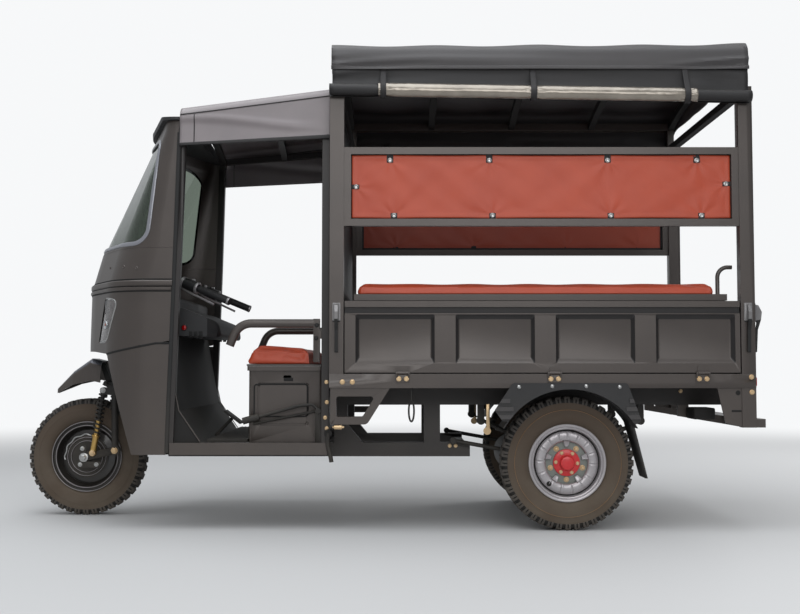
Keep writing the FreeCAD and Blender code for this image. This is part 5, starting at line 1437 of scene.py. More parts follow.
# %% Tyre sizes
BEAD_R = 0.1525
WALL = [(0.004, 0.72), (0.127, 0.722), (0.146, 0.758), (0.191, 0.848), (0.281, 0.945), (0.378, 0.990),
        (0.506, 0.992), (0.556, 0.982), (0.566, 0.994), (0.576, 0.980), (0.693, 0.965),
        (0.794, 0.932), (0.865, 0.875), (0.914, 0.784), (0.940, 0.606), (0.948, 0.303)]
LINER = [(0.880, 0.0), (0.820, 0.66), (0.360, 0.80), (0.060, 0.60), (0.004, 0.46)]
CROWN_LUG = [(0.930, 0.36), (0.999, 0.36), (0.999, 0.66), (0.972, 0.795), (0.900, 0.780)]
LEG_LUG = [(0.972, 0.795), (0.895, 0.915), (0.800, 0.977), (0.786, 0.930), (0.858, 0.868),
           (0.905, 0.780)]
CENTRE_LUG = [(0.930, -0.26), (1.0, -0.26), (1.0, 0.26), (0.930, 0.26)]


def lug(bm, outline, start, end, skew=0.0):
    """One tread block: an outline swept between two angles about the axle, its ends closed."""
    rings = []
    for angle in (start, end):
        ring = []
        for radius, out in outline:
            turn_by = angle + skew * out
            ring.append(bm.verts.new((radius * math.sin(turn_by), out, radius * math.cos(turn_by))))
        rings.append(ring)
    first, last = rings
    count = len(outline)
    for i in range(count):
        bm.faces.new((first[i], first[(i + 1) % count], last[(i + 1) % count], last[i]))
    bm.faces.new(first)
    bm.faces.new(list(reversed(last)))


# %% Build a tyre
def build_tyre(node, material, lugs=44, line_side=0, line_material=None):
    low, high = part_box(node)
    centre = (low + high) / 2
    outer, half = (high.z - low.z) / 2, (high.y - low.y) / 2 + 0.0004
    span = outer - BEAD_R

    def scaled(outline, side=1):
        return [(BEAD_R + f * span, side * g * half) for f, g in outline]

    bm = bmesh.new()
    right, left = scaled(WALL), scaled(WALL, -1)
    outline = left + list(reversed(right)) + list(reversed(scaled(LINER))) + scaled(LINER[1:], -1)
    turn(bm, outline, centre, (0, 1, 0), 4 * lugs, closed=True)
    blocks = bmesh.new()
    pitch = 2 * math.pi / lugs
    for side, shift in ((-1, 0.0), (1, 0.5)):
        for i in range(lugs):
            at = (i + shift) * pitch
            lug(blocks, scaled(CROWN_LUG, side), at - 0.31 * pitch, at + 0.31 * pitch)
            for leg in (-1, 1):
                ends = sorted((at + leg * 0.07 * pitch, at + leg * 0.31 * pitch))
                lug(blocks, scaled(LEG_LUG, side), *ends)
    for i in range(lugs):
        at = (i + 0.25) * pitch
        lug(blocks, scaled(CENTRE_LUG), at - 0.36 * pitch, at + 0.36 * pitch, skew=0.6)
    bmesh.ops.recalc_face_normals(blocks, faces=blocks.faces)
    sharp = [e for e in blocks.edges if e.calc_face_angle(0.0) > math.radians(40)]
    bevel(blocks, sharp, 0.0009, 1)
    bmesh.ops.translate(blocks, vec=centre, verts=blocks.verts)
    body = body_of(node)
    piece = add_piece(bm, node + "_casing", body, material)
    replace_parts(piece, node)
    # Painted shade: a deep black ring just above the casing at each shoulder stands for the shade in the
    # gaps between the tread blocks.
    tread_gap_shade = bmesh.new()
    for side in (-1, 1):
        band = [(f + 0.003, g + 0.006) for f, g in WALL[11:]]
        under = [(f - 0.02, g - 0.02) for f, g in reversed(WALL[11:])]
        turn(tread_gap_shade, scaled(band + under, side), centre, (0, 1, 0), 2 * lugs, closed=True)
    add_piece(tread_gap_shade, node + "_tread_gap_shade", body, deep_black)
    add_piece(blocks, node + "_tread", body, tread_rubber)
    # Painted highlight: a lighter ring on the sidewall's rib stands for the light along it.
    if line_side:
        ring = bmesh.new()
        radius = BEAD_R + 0.566 * span
        out = 0.994 * half
        turn(ring, [(radius - 0.0011, out - 0.0008), (radius, out + 0.0005), (radius + 0.0011, out - 0.0008),
                    (radius, out - 0.0016)], centre, (0, line_side, 0), 120, closed=True)
        add_piece(ring, node + "_line", body, line_material)
    print(node, "outer radius", round(outer, 4), "pitch", round(outer * pitch, 4))


tread_rubber = finish("tread_rubber", colour(66, 62, 60), colour(50, 48, 46), rough=0.82, patch=12,
                      dust_amount=0.3, bump_scale=260, bump_strength=0.2)
# Painted highlight: a lighter brown than the tyre, for the rear tyres' sidewall rib.
sidewall_rib_highlight = finish("sidewall_rib_highlight", colour(142, 106, 72), colour(116, 86, 58), rough=0.75,
                    dust_amount=0.2)
build_tyre("rear_left_tyre", tyre_rubber, line_side=-1, line_material=sidewall_rib_highlight)
build_tyre("rear_right_tyre", tyre_rubber, line_side=1, line_material=sidewall_rib_highlight)
build_tyre("front_tyre", tyre_rubber, lugs=40)

# %% [markdown]
# ## Rear wheels
# A steel rim holds a domed ring with small pressed creases. Five tabs reach inwards from it over a plate,
# a gold nut sits between each pair of tabs, and a red cap with six bolts closes the hub.

# %% Rear wheel outlines
RIM_OUTLINE = [(0.1665, 0.0475), (0.1525, 0.0475), (0.1505, 0.0214), (0.1325, 0.0143),
               (0.1325, -0.0143), (0.1505, -0.0214), (0.1525, -0.0475), (0.1665, -0.0475),
               (0.1665, -0.0525), (0.1480, -0.0525), (0.1455, -0.0264), (0.1275, -0.0193),
               (0.1275, 0.0193), (0.1400, 0.0225), (0.1432, 0.0300), (0.1440, 0.0440),
               (0.1465, 0.0486), (0.1500, 0.0497), (0.1533, 0.0478), (0.1548, 0.0486),
               (0.1563, 0.0519), (0.1600, 0.0536), (0.1640, 0.0536), (0.1665, 0.0520)]
DISC_OUTLINE = [(0.1300, 0.0190), (0.1350, 0.0240), (0.1352, 0.0285), (0.1315, 0.0325),
                (0.1225, 0.0354), (0.1130, 0.0362), (0.1040, 0.0355), (0.0965, 0.0330),
                (0.0920, 0.0290), (0.0903, 0.0240), (0.0903, 0.0170), (0.0945, 0.0170),
                (0.0965, 0.0250), (0.1040, 0.0295), (0.1220, 0.0295), (0.1280, 0.0250),
                (0.1270, 0.0190)]
HUB_OUTLINE = [(0, 0.0580), (0.0235, 0.0578), (0.0278, 0.0560), (0.0300, 0.0520), (0.0308, 0.0340),
               (0.0345, 0.0306), (0.0530, 0.0292), (0.0570, 0.0272), (0.0582, 0.0225), (0.0582, 0.0170)]
PLATE_OUTLINE = [(0.0173, -0.0220), (0.0340, -0.0220), (0.0340, 0.0090), (0.0910, 0.0110),
                 (0.0910, 0.0160), (0.0560, 0.0172), (0.0173, 0.0172)]
CREASES = (-149, -128, -106, -88, -66, -43, -20, 3, 33, 56, 78, 103, 128, 158, 183)
TABS = 5
NUT_RING, CAP_RING = 0.0725, 0.0465


def wheel_spot(centre, side, radius, degrees, out):
    """A place on the outer face of a wheel; the angle runs from the top as the near side sees it."""
    angle = math.radians(degrees)
    return centre + Vector((radius * math.sin(angle), side * out, radius * math.cos(angle)))


def turned_parts(centre, side, *outlines, steps=120):
    bm = bmesh.new()
    for outline in outlines:
        turn(bm, outline, centre, (0, side, 0), steps, closed=outline[0][0] > 0)
    return bm


# %% Creased disc
def crease_disc(bm, centre, side):
    """Presses a shallow radial groove into the domed ring at every crease."""
    for vert in bm.verts:
        spoke = vert.co - centre
        radius = math.hypot(spoke.x, spoke.z)
        degrees = math.degrees(math.atan2(-spoke.z, spoke.x))
        front = smooth_step(0.026, 0.034, side * spoke.y)
        for at in CREASES:
            off = (degrees - at + 180) % 360 - 180
            if abs(off) < 6:
                groove = math.exp(-(off / 1.3) ** 2) - 0.35 * math.exp(-((abs(off) - 3) / 1.6) ** 2)
                inner = smooth_step(0.094, 0.102, radius)
                vert.co.y -= side * 0.0022 * groove * front * inner


def add_tabs(bm, centre, side):
    """Five tapered tabs that reach inwards from the ring."""
    for i in range(TABS):
        made = bmesh.ops.create_cube(bm, size=1.0)["verts"]
        for vert in made:
            inward = vert.co.z < 0
            half_wide = 0.0075 if inward else 0.0135
            radius = 0.0690 if inward else 0.0935
            outer = 0.0235 if inward else 0.0325
            vert.co = Vector((math.copysign(half_wide, vert.co.x),
                              side * (outer if vert.co.y > 0 else 0.0150), radius))
        edges = list({edge for vert in made for edge in vert.link_edges})
        old = set(bm.verts) - set(made)
        bevel(bm, edges, 0.0028, 2)
        fresh = [vert for vert in bm.verts if vert not in old]
        bmesh.ops.rotate(bm, verts=fresh, cent=(0, 0, 0),
                         matrix=Matrix.Rotation(2 * math.pi * i / TABS, 3, "Y"))
        bmesh.ops.translate(bm, verts=fresh, vec=centre)


# %% Build a rear wheel
plate_grey = finish("plate_grey", colour(128, 134, 130), colour(108, 114, 110), rough=0.45, metal=0.3,
                    dust_amount=0.3)
gold_nut = finish("gold_nut", colour(224, 196, 156), colour(192, 162, 122), rough=0.32, metal=0.7,
                  dust_amount=0.1)


def build_rear_wheel(node, side):
    centre = box_centre(node.replace("wheel", "tyre"))
    body = body_of(node)
    rim = turned_parts(centre, side, RIM_OUTLINE)
    piece = add_piece(rim, node + "_rim", body, silver_enamel)
    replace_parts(piece, node)
    disc = turned_parts(centre, side, DISC_OUTLINE, steps=300)
    crease_disc(disc, centre, side)
    add_tabs(disc, centre, side)
    add_piece(disc, node + "_disc", body, silver_enamel)
    add_piece(turned_parts(centre, side, PLATE_OUTLINE, steps=72), node + "_plate", body, plate_grey)
    add_piece(turned_parts(centre, side, HUB_OUTLINE, steps=72), node + "_cap", body, hub_red)
    nuts, dark = bmesh.new(), bmesh.new()
    for i in range(TABS):
        spot = wheel_spot(centre, side, NUT_RING, 36 + 72 * i, 0.0168)
        bolt_head(nuts, spot, (0, side, 0), 0.0090, 0.0085, washer=1.35)
        turn(nuts, [(0, 0.0135), (0.0040, 0.0130), (0.0045, 0.0)], spot, (0, side, 0), 12)
    for i in range(6):
        bolt_head(nuts, wheel_spot(centre, side, CAP_RING, 93 + 60 * i, 0.0290), (0, side, 0),
                  0.0072, 0.0062, washer=1.15)
    # Painted shade: a deep black disc stands for the dark inside the valve hole.
    hole = wheel_spot(centre, side, 0.118, -139, 0.0352)
    turn(dark, [(0, 0.0014), (0.0108, 0.0014), (0.0112, -0.0040)], hole, (0, side, 0), 24)
    stem = wheel_spot(centre, side, 0.1390, 12, 0.0240)
    turn(dark, [(0, 0.020), (0.0032, 0.0195), (0.0036, 0.004), (0.0055, 0.0)], stem, (0, side, 0), 14)
    # Painted shade: a thin deep black ring stands for the deep shade in the channel between the disc and the
    # rim.
    turn(dark, [(0.1352, 0.0245), (0.1434, 0.0250), (0.1434, 0.0235), (0.1352, 0.0230)], centre,
         (0, side, 0), 90, closed=True)
    add_piece(nuts, node + "_nuts", body, gold_nut)
    add_piece(dark, node + "_valve_and_shade", body, deep_black)


build_rear_wheel("rear_left_wheel", -1)
build_rear_wheel("rear_right_wheel", 1)

# %% [markdown]
# ## Front wheel and its springs
# The front rim is black, with two rolled rings that catch the light. A fixed brake plate with a wavy
# silver edge sits inside it. Each spring is a wire wound as a helix round a gold damper.

# %% Front rim
FRONT_RIM = [(0.1665, 0.0425), (0.1525, 0.0425), (0.1325, 0.0127), (0.1325, -0.0127),
             (0.1525, -0.0425), (0.1665, -0.0425), (0.1665, -0.0475), (0.1475, -0.0475),
             (0.1275, -0.0177), (0.1275, 0.0177), (0.1375, 0.0290), (0.1405, 0.0395),
             (0.1432, 0.0440), (0.1465, 0.0455), (0.1495, 0.0440), (0.1515, 0.0405),
             (0.1550, 0.0405), (0.1575, 0.0455), (0.1605, 0.0485), (0.1640, 0.0485),
             (0.1665, 0.0465)]
FRONT_DISC = [(0.0300, -0.0020), (0.0760, -0.0020), (0.0920, 0.0080), (0.1303, 0.0010),
              (0.1303, 0.0080), (0.0920, 0.0160), (0.0760, 0.0060), (0.0300, 0.0060)]
FRONT_HUB = [(0.0121, -0.0400), (0.0660, -0.0400), (0.0660, -0.0100), (0.0320, -0.0100),
             (0.0320, 0.0340), (0.0121, 0.0340)]
BRAKE_PLATE = [(0.0210, 0.0380), (0.1000, 0.0400), (0.1000, 0.0428), (0.0940, 0.0440),
               (0.0905, 0.0472), (0.0868, 0.0440), (0.0775, 0.0440), (0.0738, 0.0470),
               (0.0700, 0.0440), (0.0210, 0.0440)]


def build_front_wheel():
    centre = box_centre("front_tyre")
    wheel_body, fork_body = body_of("front_wheel"), body_of("fork")
    rim = turned_parts(centre, -1, FRONT_RIM, FRONT_DISC, FRONT_HUB)
    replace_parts(add_piece(rim, "front_rim", wheel_body, rim_black), "front_wheel")
    plate = turned_parts(centre, -1, BRAKE_PLATE, steps=96)
    add_piece(plate, "brake_plate", fork_body, axle_black)
    edge = []
    for i in range(46):
        degrees = 172 + 128 * i / 45
        radius = 0.1035 + 0.0030 * math.sin(i * 0.62)
        angle = math.radians(degrees)
        edge.append(centre + Vector((radius * math.cos(angle), -0.0420, -radius * math.sin(angle))))
    add_tubes("brake_plate_edge", [(edge, 0.0036, False, True)], fork_body, plated_steel)
    return centre


front_centre = build_front_wheel()

# %% Front dampers and springs
SHOCK_Y = 0.112
LOW_EYE = Vector((-1.330, 0, 0.296))
TOP_EYE = Vector((-1.282, 0, 0.588))
COIL_R, WIRE_R, COIL_TURNS = 0.0182, 0.0040, 9.5
BODY_OUTLINE = [(0, 0.160), (0.0105, 0.160), (0.0115, 0.085), (0.0190, 0.084), (0.0200, 0.081),
                (0.0200, 0.078), (0.0150, 0.076), (0.0140, 0.066), (0.0140, 0.012), (0.0110, 0.006),
                (0, 0.006)]
SLEEVE_OUTLINE = [(0, 0.290), (0.0100, 0.288), (0.0130, 0.281), (0.0205, 0.279), (0.0205, 0.272),
                  (0.0100, 0.268), (0.0085, 0.150), (0, 0.150)]
EYE_SHAPE = [(0, 0.0125), (0.0130, 0.0125), (0.0150, 0.0105), (0.0150, -0.0105), (0.0130, -0.0125),
             (0, -0.0125)]


def build_shock(side):
    low, top = LOW_EYE + Vector((0, side * SHOCK_Y, 0)), TOP_EYE + Vector((0, side * SHOCK_Y, 0))
    run = (top - low).normalized()
    body = body_of("front_shocks")
    gold, dark = bmesh.new(), bmesh.new()
    turn(gold, BODY_OUTLINE, low, run, 32)
    turn(gold, EYE_SHAPE, low, (0, 1, 0), 32)
    turn(dark, SLEEVE_OUTLINE, low, run, 32)
    turn(dark, EYE_SHAPE, top, (0, 1, 0), 32)
    piece = add_piece(gold, side_name("damper", side), body, brass_plate)
    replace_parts(piece, "front_shocks")
    add_piece(dark, side_name("damper_rod", side), body, axle_black)
    across = run.cross(Vector((0, 1, 0))).normalized()
    coil = []
    for i in range(int(COIL_TURNS * 14) + 1):
        angle = 2 * math.pi * i / 14
        height = 0.084 + 0.184 * i / (COIL_TURNS * 14)
        out = across * math.cos(angle) + Vector((0, 1, 0)) * math.sin(angle)
        coil.append(low + run * height + out * COIL_R)
    add_tubes(side_name("spring", side), [(coil, WIRE_R, False, True)], body, axle_black)


for side in (-1, 1):
    build_shock(side)


# %% Bolts of the fork
def build_fork_bolts():
    bolts, steel, plates = bmesh.new(), bmesh.new(), bmesh.new()
    for side in (-1, 1):
        out = (0, side, 0)
        bolt_head(bolts, (LOW_EYE.x, side * 0.1245, LOW_EYE.z), out, 0.0100, 0.009)
        bolt_head(bolts, (-1.226, side * 0.126, 0.308), out, 0.0125, 0.010, washer=1.25)
        bolt_head(steel, (front_centre.x, side * 0.1015, front_centre.z), out, 0.0150, 0.013)
        bolt_head(steel, (TOP_EYE.x, side * 0.1305, TOP_EYE.z), out, 0.0090, 0.008)
        for x, z in ((-1.3825, 0.315), (-1.3920, 0.241), (-1.3160, 0.241)):
            bolt_head(steel, (x, side * 0.1012, z), out, 0.0075, 0.007)
        low_y, high_y = y_span(side, 0.0982, 0.1014)
        for low, high in (((-1.402, 0.226), (-1.298, 0.254)), ((-1.398, 0.250), (-1.366, 0.329))):
            block(plates, (low[0], low_y, low[1]), (high[0], high_y, high[1]), 0.0012)
    body = body_of("fork")
    add_piece(bolts, "fork_bolts", body, gold_nut)
    add_piece(steel, "axle_nuts", body, plated_steel)
    add_piece(plates, "link_plates", body, axle_black)


build_fork_bolts()

# %% [markdown]
# ## Seams, seals and mouldings of the cab
# Where one shell meets another, a real cab has a rubber seal, a gap or a pressed strip. Each follows an
# edge that the solids already have. The edge is found in the mesh: it is where the faces that look
# outwards stop. The loop is then put in order and a section is swept along it. The thin black lines
# beside the belt mouldings and along the lower fairings' upper edges are painted shade.


# %% Edge finding
CAB_AXIS_X = -0.80


def outward_rim(node, limit=0.25):
    """The border edges of a node's outward faces, as pairs of points with the outward direction."""
    bm = node_copy(node)
    outward = set()
    for face in bm.faces:
        middle = face.calc_center_median()
        away = Vector((middle.x - CAB_AXIS_X, middle.y, 0)).normalized()
        if face.normal.dot(away) > limit:
            outward.add(face)
    links = []
    for edge in bm.edges:
        faces = [face for face in edge.link_faces if face in outward]
        if len(faces) == 1:
            links.append((edge.verts[0].co.copy(), edge.verts[1].co.copy(), faces[0].normal.copy()))
    bm.free()
    return links


def chain(links, keep=lambda co: True):
    """Puts border edges in order end to end and gives the runs as lists of (point, outward)."""
    def key(co):
        return tuple(round(part, 4) for part in co)

    near = {}
    for start, end, out in links:
        if keep(start) and keep(end):
            near.setdefault(key(start), []).append((end, out))
            near.setdefault(key(end), []).append((start, out))
    runs, used = [], set()
    ends_first = sorted(near, key=lambda spot: (len(near[spot]) != 1, spot))
    for first in ends_first:
        if first in used:
            continue
        run, spot = [], first
        while spot is not None:
            used.add(spot)
            run.append((Vector(spot), near[spot][0][1]))
            following = [key(end) for end, _ in near[spot] if key(end) not in used]
            spot = following[0] if following else None
        if len(run) > 2:
            runs.append(run)
    return sorted(runs, key=len, reverse=True)


def even_run(run, step, closed=False):
    """The same path with evenly spaced points and smoothed outward directions."""
    points = [point for point, _ in run] + ([run[0][0]] if closed else [])
    outs = [out for _, out in run] + ([run[0][1]] if closed else [])
    lengths = [0.0]
    for a, b in zip(points, points[1:]):
        lengths.append(lengths[-1] + (b - a).length)
    count = max(4, round(lengths[-1] / step))
    result, at = [], 0
    for i in range(count + (0 if closed else 1)):
        goal = lengths[-1] * i / count
        while at < len(lengths) - 2 and lengths[at + 1] < goal:
            at += 1
        share = (goal - lengths[at]) / max(1e-9, lengths[at + 1] - lengths[at])
        result.append((points[at].lerp(points[at + 1], share),
                       outs[at].lerp(outs[at + 1], share).normalized()))
    return result


def sweep(bm, run, section, closed=False):
    """Sweeps a closed section of (across, out) points along a run; across lies in the surface."""
    rings = []
    count = len(run)
    for i, (point, out) in enumerate(run):
        before = run[i - 1][0] if i or closed else point
        after = run[(i + 1) % count][0] if i < count - 1 or closed else point
        ahead = (after - before).normalized()
        across = ahead.cross(out).normalized()
        rings.append([bm.verts.new(point + across * a + out * b) for a, b in section])
    pairs = list(zip(rings, rings[1:])) + ([(rings[-1], rings[0])] if closed else [])
    size = len(section)
    for first, last in pairs:
        for i in range(size):
            bm.faces.new((first[i], first[(i + 1) % size], last[(i + 1) % size], last[i]))
    if not closed:
        bm.faces.new(rings[0])
        bm.faces.new(list(reversed(rings[-1])))


def rounded_section(half_wide, low, high, turn_in=0.35):
    """A low strip section: flat foot, rounded top."""
    edge = half_wide * (1 - turn_in)
    return [(-half_wide, low), (-half_wide, low + (high - low) * 0.55), (-edge, high * 0.92), (0, high),
            (edge, high * 0.92), (half_wide, low + (high - low) * 0.55), (half_wide, low)]


# %% Windscreen gasket
gasket_grey = finish("gasket_grey", colour(138, 139, 146), colour(118, 119, 126), rough=0.32,
                     metal=0.3, coat=0.3, dust_amount=0.05)


def build_gasket():
    run = even_run(chain(outward_rim("windscreen"))[0], 0.012, closed=True)
    dark, pale = bmesh.new(), bmesh.new()
    sweep(dark, run, rounded_section(0.0135, -0.002, 0.0070), closed=True)
    sweep(pale, run, rounded_section(0.0095, 0.002, 0.0105), closed=True)
    add_piece(dark, "windscreen_seal", "chassis", black_rubber)
    add_piece(pale, "windscreen_gasket", "chassis", gasket_grey)
    print("gasket points", len(run))


build_gasket()


# %% Seam and moulding strips
def level_run(node, z):
    """Where the outside of a cab shell crosses a level, from its left rear edge to its right one."""
    bm = node_copy(node)
    inward = []
    for face in bm.faces:
        middle = face.calc_center_median()
        if face.normal.dot(Vector((middle.x - CAB_AXIS_X, middle.y, 0)).normalized()) <= 0.25:
            inward.append(face)
    bmesh.ops.delete(bm, geom=inward, context="FACES")
    cut = bmesh.ops.bisect_plane(bm, geom=bm.verts[:] + bm.edges[:] + bm.faces[:], plane_co=(0, 0, z),
                                 plane_no=(0, 0, 1))["geom_cut"]
    spots = {}
    for vert in (part for part in cut if isinstance(part, bmesh.types.BMVert)):
        angle = round(math.degrees(math.atan2(vert.co.y, CAB_AXIS_X - vert.co.x)))
        reach = math.hypot(vert.co.x - CAB_AXIS_X, vert.co.y)
        if reach > 0.45 and (angle not in spots or reach > spots[angle][0]):
            spots[angle] = (reach, vert.co.copy())
    bm.free()
    points = [spots[angle][1] for angle in sorted(spots)]
    run = []
    for i, point in enumerate(points):
        ahead = (points[min(i + 1, len(points) - 1)] - points[max(i - 1, 0)]).normalized()
        run.append((point, Vector((0, 0, 1)).cross(ahead).normalized()))
    middle = run[len(run) // 2]
    if middle[1].x > 0:
        run = [(point, -out) for point, out in run]
    return even_run(run, 0.012)


def build_strips():
    painted, dark = bmesh.new(), bmesh.new()
    for node, z, half_high, high in (("nose_panel", 1.0600, 0.0120, 0.0085),
                                     ("headlight_panel", 1.0360, 0.0075, 0.0060)):
        sweep(painted, level_run(node, z), rounded_section(half_high, -0.001, high))
    # Painted shade: thin deep black strips beside the mouldings and along the lower fairings' edges stand
    # for the shade at those steps.
    for node, z in (("nose_panel", 1.0765), ("headlight_panel", 1.0450), ("headlight_panel", 1.0250)):
        sweep(dark, level_run(node, z), rounded_section(0.0030, -0.001, 0.0016))
    seams = [run for run in chain(outward_rim("lower_fairings"), lambda co: co.z > 0.72) if len(run) > 3]
    for run in seams:
        sweep(dark, even_run(run, 0.012), rounded_section(0.0045, -0.001, 0.0030))
    add_piece(painted, "belt_mouldings", "chassis", body_paint)
    add_piece(dark, "belt_seam_shade", "chassis", deep_black)
    print("seams", [len(run) for run in seams])


build_strips()

# %% Dimples in the scuttle
def shell_spot(node, pixel):
    """Where a ray from the camera through a picture point first meets a shell, with its normal."""
    mesh = nodes[node].data
    tree = BVHTree.FromPolygons([vertex.co for vertex in mesh.vertices],
                                [tuple(face.vertices) for face in mesh.polygons])
    across = (pixel[0] - AXIS_PIXEL[0]) / FOCAL_PIXELS
    up = (AXIS_PIXEL[1] - pixel[1]) / FOCAL_PIXELS
    ray = Vector((across, math.cos(CAMERA_TILT_UP) - up * math.sin(CAMERA_TILT_UP),
                  math.sin(CAMERA_TILT_UP) + up * math.cos(CAMERA_TILT_UP)))
    place, normal, _, _ = tree.ray_cast(CAMERA_PLACE, ray.normalized())
    return place, normal


def build_dimples():
    bm = bmesh.new()
    for pixel in ((110.4, 268.0), (123.7, 266.7), (136.5, 268.0)):
        place, normal = shell_spot("nose_panel", pixel)
        if normal.y > 0:
            normal = -normal
        for side in (-1, 1):
            spot = Vector((place.x, -side * place.y, place.z))
            out = Vector((normal.x, -side * normal.y, normal.z))
            turn(bm, [(0, 0.0002), (0.0030, 0.0006), (0.0055, 0.0020), (0.0075, 0.0006), (0.0085, -0.001)],
                 spot, out, 20)
    add_piece(bm, "scuttle_dimples", "chassis", body_paint)


build_dimples()

# %% Door seals
CAB_EDGE = [(-0.897, 0.330), (-0.8905, 0.560), (-0.882, 0.800), (-0.874, 1.047), (-0.869, 1.214),
            (-0.855, 1.716)]


def build_door_seals():
    """The rubber strip between the cab's shells and its front pillars."""
    bm = bmesh.new()
    for side in (-1, 1):
        run = [(Vector((x + 0.006, side * 0.5605, z)), Vector((0, side, 0))) for x, z in CAB_EDGE]
        sweep(bm, even_run(run, 0.05), rounded_section(0.0085, -0.002, 0.0050))
    add_piece(bm, "door_seals", "chassis", black_rubber)


build_door_seals()

# %% [markdown]
# ## Headlights
# Behind each clear lens lies a bright bowl with two round reflectors, and a thin silver rim holds the lens.

# %% Headlight bowls
chrome = finish("chrome", colour(226, 228, 230), colour(200, 203, 206), rough=0.12, metal=1.0,
                dust_amount=0.02, bump_scale=25, bump_strength=0.05)
lamp_bowl = finish("lamp_bowl", colour(120, 114, 112), colour(84, 78, 78), rough=0.16, metal=0.85, patch=30,
                   contrast=0.9, dust_amount=0.02, bump_scale=25, bump_strength=0.05)
amber_bulb = finish("amber_bulb", colour(150, 66, 40), colour(110, 44, 30), rough=0.2, coat=0.5)


def build_headlights():
    bowls = node_copy("headlights")
    for side in (-1, 1):
        part = [v for v in bowls.verts if v.co.y * side > 0]
        middle = sum((v.co for v in part), Vector()) / len(part)
        inwards = Vector((0.6, -side * 0.8, 0))
        for vert in part:
            vert.co = middle + (vert.co - middle) * 0.93 + inwards * 0.010
    add_piece(bowls, "headlight_bowls", "chassis", lamp_bowl)
    rims, lamps, wells = [], bmesh.new(), bmesh.new()
    for run in chain(outward_rim("headlights"))[:2]:
        rims.append(([point + out * 0.001 for point, out in even_run(run, 0.012, closed=True)],
                     0.0028, True, True))
        side = 1 if run[0][0].y > 0 else -1
        middle = sum((point for point, _ in run), Vector()) / len(run)
        out = sum((out for _, out in run), Vector()).normalized()
        for lift, size in ((0.042, 0.021), (-0.030, 0.018)):
            spot = middle + Vector((0.010 * (1 if lift > 0 else -1), 0, lift)) + out * 0.0005
            turn(lamps, [(0, 0.0005), (size * 0.55, 0.0015), (size, 0.0045), (size * 1.08, 0.0030),
                         (size * 1.08, -0.002)], spot, out, 24)
            turn(wells, [(0, 0.0060), (size * 0.30, 0.0052), (size * 0.42, 0.0012)], spot, out, 20)
    add_tubes("headlight_rims", rims, "chassis", plated_steel)
    add_piece(lamps, "headlight_reflectors", "chassis", chrome)
    add_piece(wells, "headlight_bulbs", "chassis", amber_bulb)


build_headlights()

# %% [markdown]
# ## Painted shade behind the gates
# A gate clears its posts and its sill by five millimetres. A black strip just behind each gap is painted
# shade for the dark seen through it, and it stops the daylight, clear of the gate when it swings.

# %% Painted shade behind the gates
GATE_X0, GATE_X1, GATE_IN = -0.125, 1.545, 0.6105
GATE_LOW, GATE_TOP = 0.6690, 0.9740
TAIL_IN, TAIL_HALF = 1.5705, 0.597


def build_gate_gap_shade():
    bm = bmesh.new()
    for side in (-1, 1):
        low, high = y_span(side, GATE_IN - 0.007, GATE_IN)
        block(bm, (GATE_X0 - 0.004, low, GATE_LOW), (GATE_X1 + 0.004, high, GATE_LOW + 0.013), 0.001)
        for x in (GATE_X0, GATE_X1):
            block(bm, (x - 0.008, low, GATE_LOW), (x + 0.008, high, GATE_TOP), 0.001)
        low, high = y_span(side, TAIL_HALF - 0.006, TAIL_HALF + 0.006)
        block(bm, (TAIL_IN - 0.007, low, GATE_LOW), (TAIL_IN, high, GATE_TOP), 0.001)
    block(bm, (TAIL_IN - 0.007, -TAIL_HALF, GATE_LOW), (TAIL_IN, TAIL_HALF, GATE_LOW + 0.013), 0.001)
    add_piece(bm, "gate_gap_shade", "chassis", black_rubber)


build_gate_gap_shade()

# %% [markdown]
# ## Bolts, plates and fittings
# Yellow passivated bolts hold the hinges, the posts and the cab's rear pillars. Below the bed hang a rope
# hook, a brake arm and a turnbuckle. Each head is a short spin in six steps, placed by its measured spot.

# %% Bolt heads
SIDE_BOLTS = [(hinge + shift, 0.6552, 0.648) for hinge in (0.120, 0.760, 1.385) for shift in (-0.016, 0.016)]
SIDE_BOLTS += [(-0.134, 0.650, 0.6345), (-0.092, 0.650, 0.6345), (1.590, 0.650, 0.6555)]
PILLAR_BOLTS = [(-0.207, 0.560, 0.633), (-0.205, 0.560, 0.547), (-0.212, 0.560, 0.481),
                (-0.205, 0.560, 0.435)]
ARM_BOLTS = [(-0.251, 0.544, 0.878), (-0.253, 0.544, 0.822)]
RAIL_BOLTS = [(0.330, 0.360, 0.347), (0.356, 0.360, 0.347), (1.363, 0.360, 0.590)]
GUARD_BOLTS = [(0.610, 0.655, 0.6140), (0.750, 0.655, 0.6170), (0.893, 0.655, 0.6170),
               (1.034, 0.655, 0.6140)]


def build_bolts():
    gold, steel, dark = bmesh.new(), bmesh.new(), bmesh.new()
    for side in (-1, 1):
        out = (0, side, 0)
        for x, y, z in SIDE_BOLTS:
            bolt_head(gold, (x, side * y, z), out, 0.0094, 0.0060, washer=1.15)
        bolt_head(gold, (1.592, side * 0.648, 0.592), out, 0.0094, 0.0060, washer=1.15)
        for x, y, z in PILLAR_BOLTS + RAIL_BOLTS:
            bolt_head(gold, (x, side * y, z), out, 0.0070, 0.0050, washer=1.25)
        for x, y, z in ARM_BOLTS:
            bolt_head(dark, (x, side * y, z), out, 0.0080, 0.0050, washer=1.25)
        for x, y, z in GUARD_BOLTS:
            round_head(steel, (x, side * y, z), out, 0.0085, 0.0045)
    for y in (-0.436, -0.404, 0.404, 0.436):
        bolt_head(gold, (1.6152, y, 0.648), (1, 0, 0), 0.0094, 0.0060, washer=1.15)
    add_piece(gold, "brass_bolts", "chassis", gold_nut)
    add_piece(steel, "guard_rivets", "chassis", plated_steel)
    add_piece(dark, "armrest_bolts", "chassis", axle_black)
    print("bolt heads placed:", 2 * (len(SIDE_BOLTS) + len(PILLAR_BOLTS) + len(RAIL_BOLTS)))


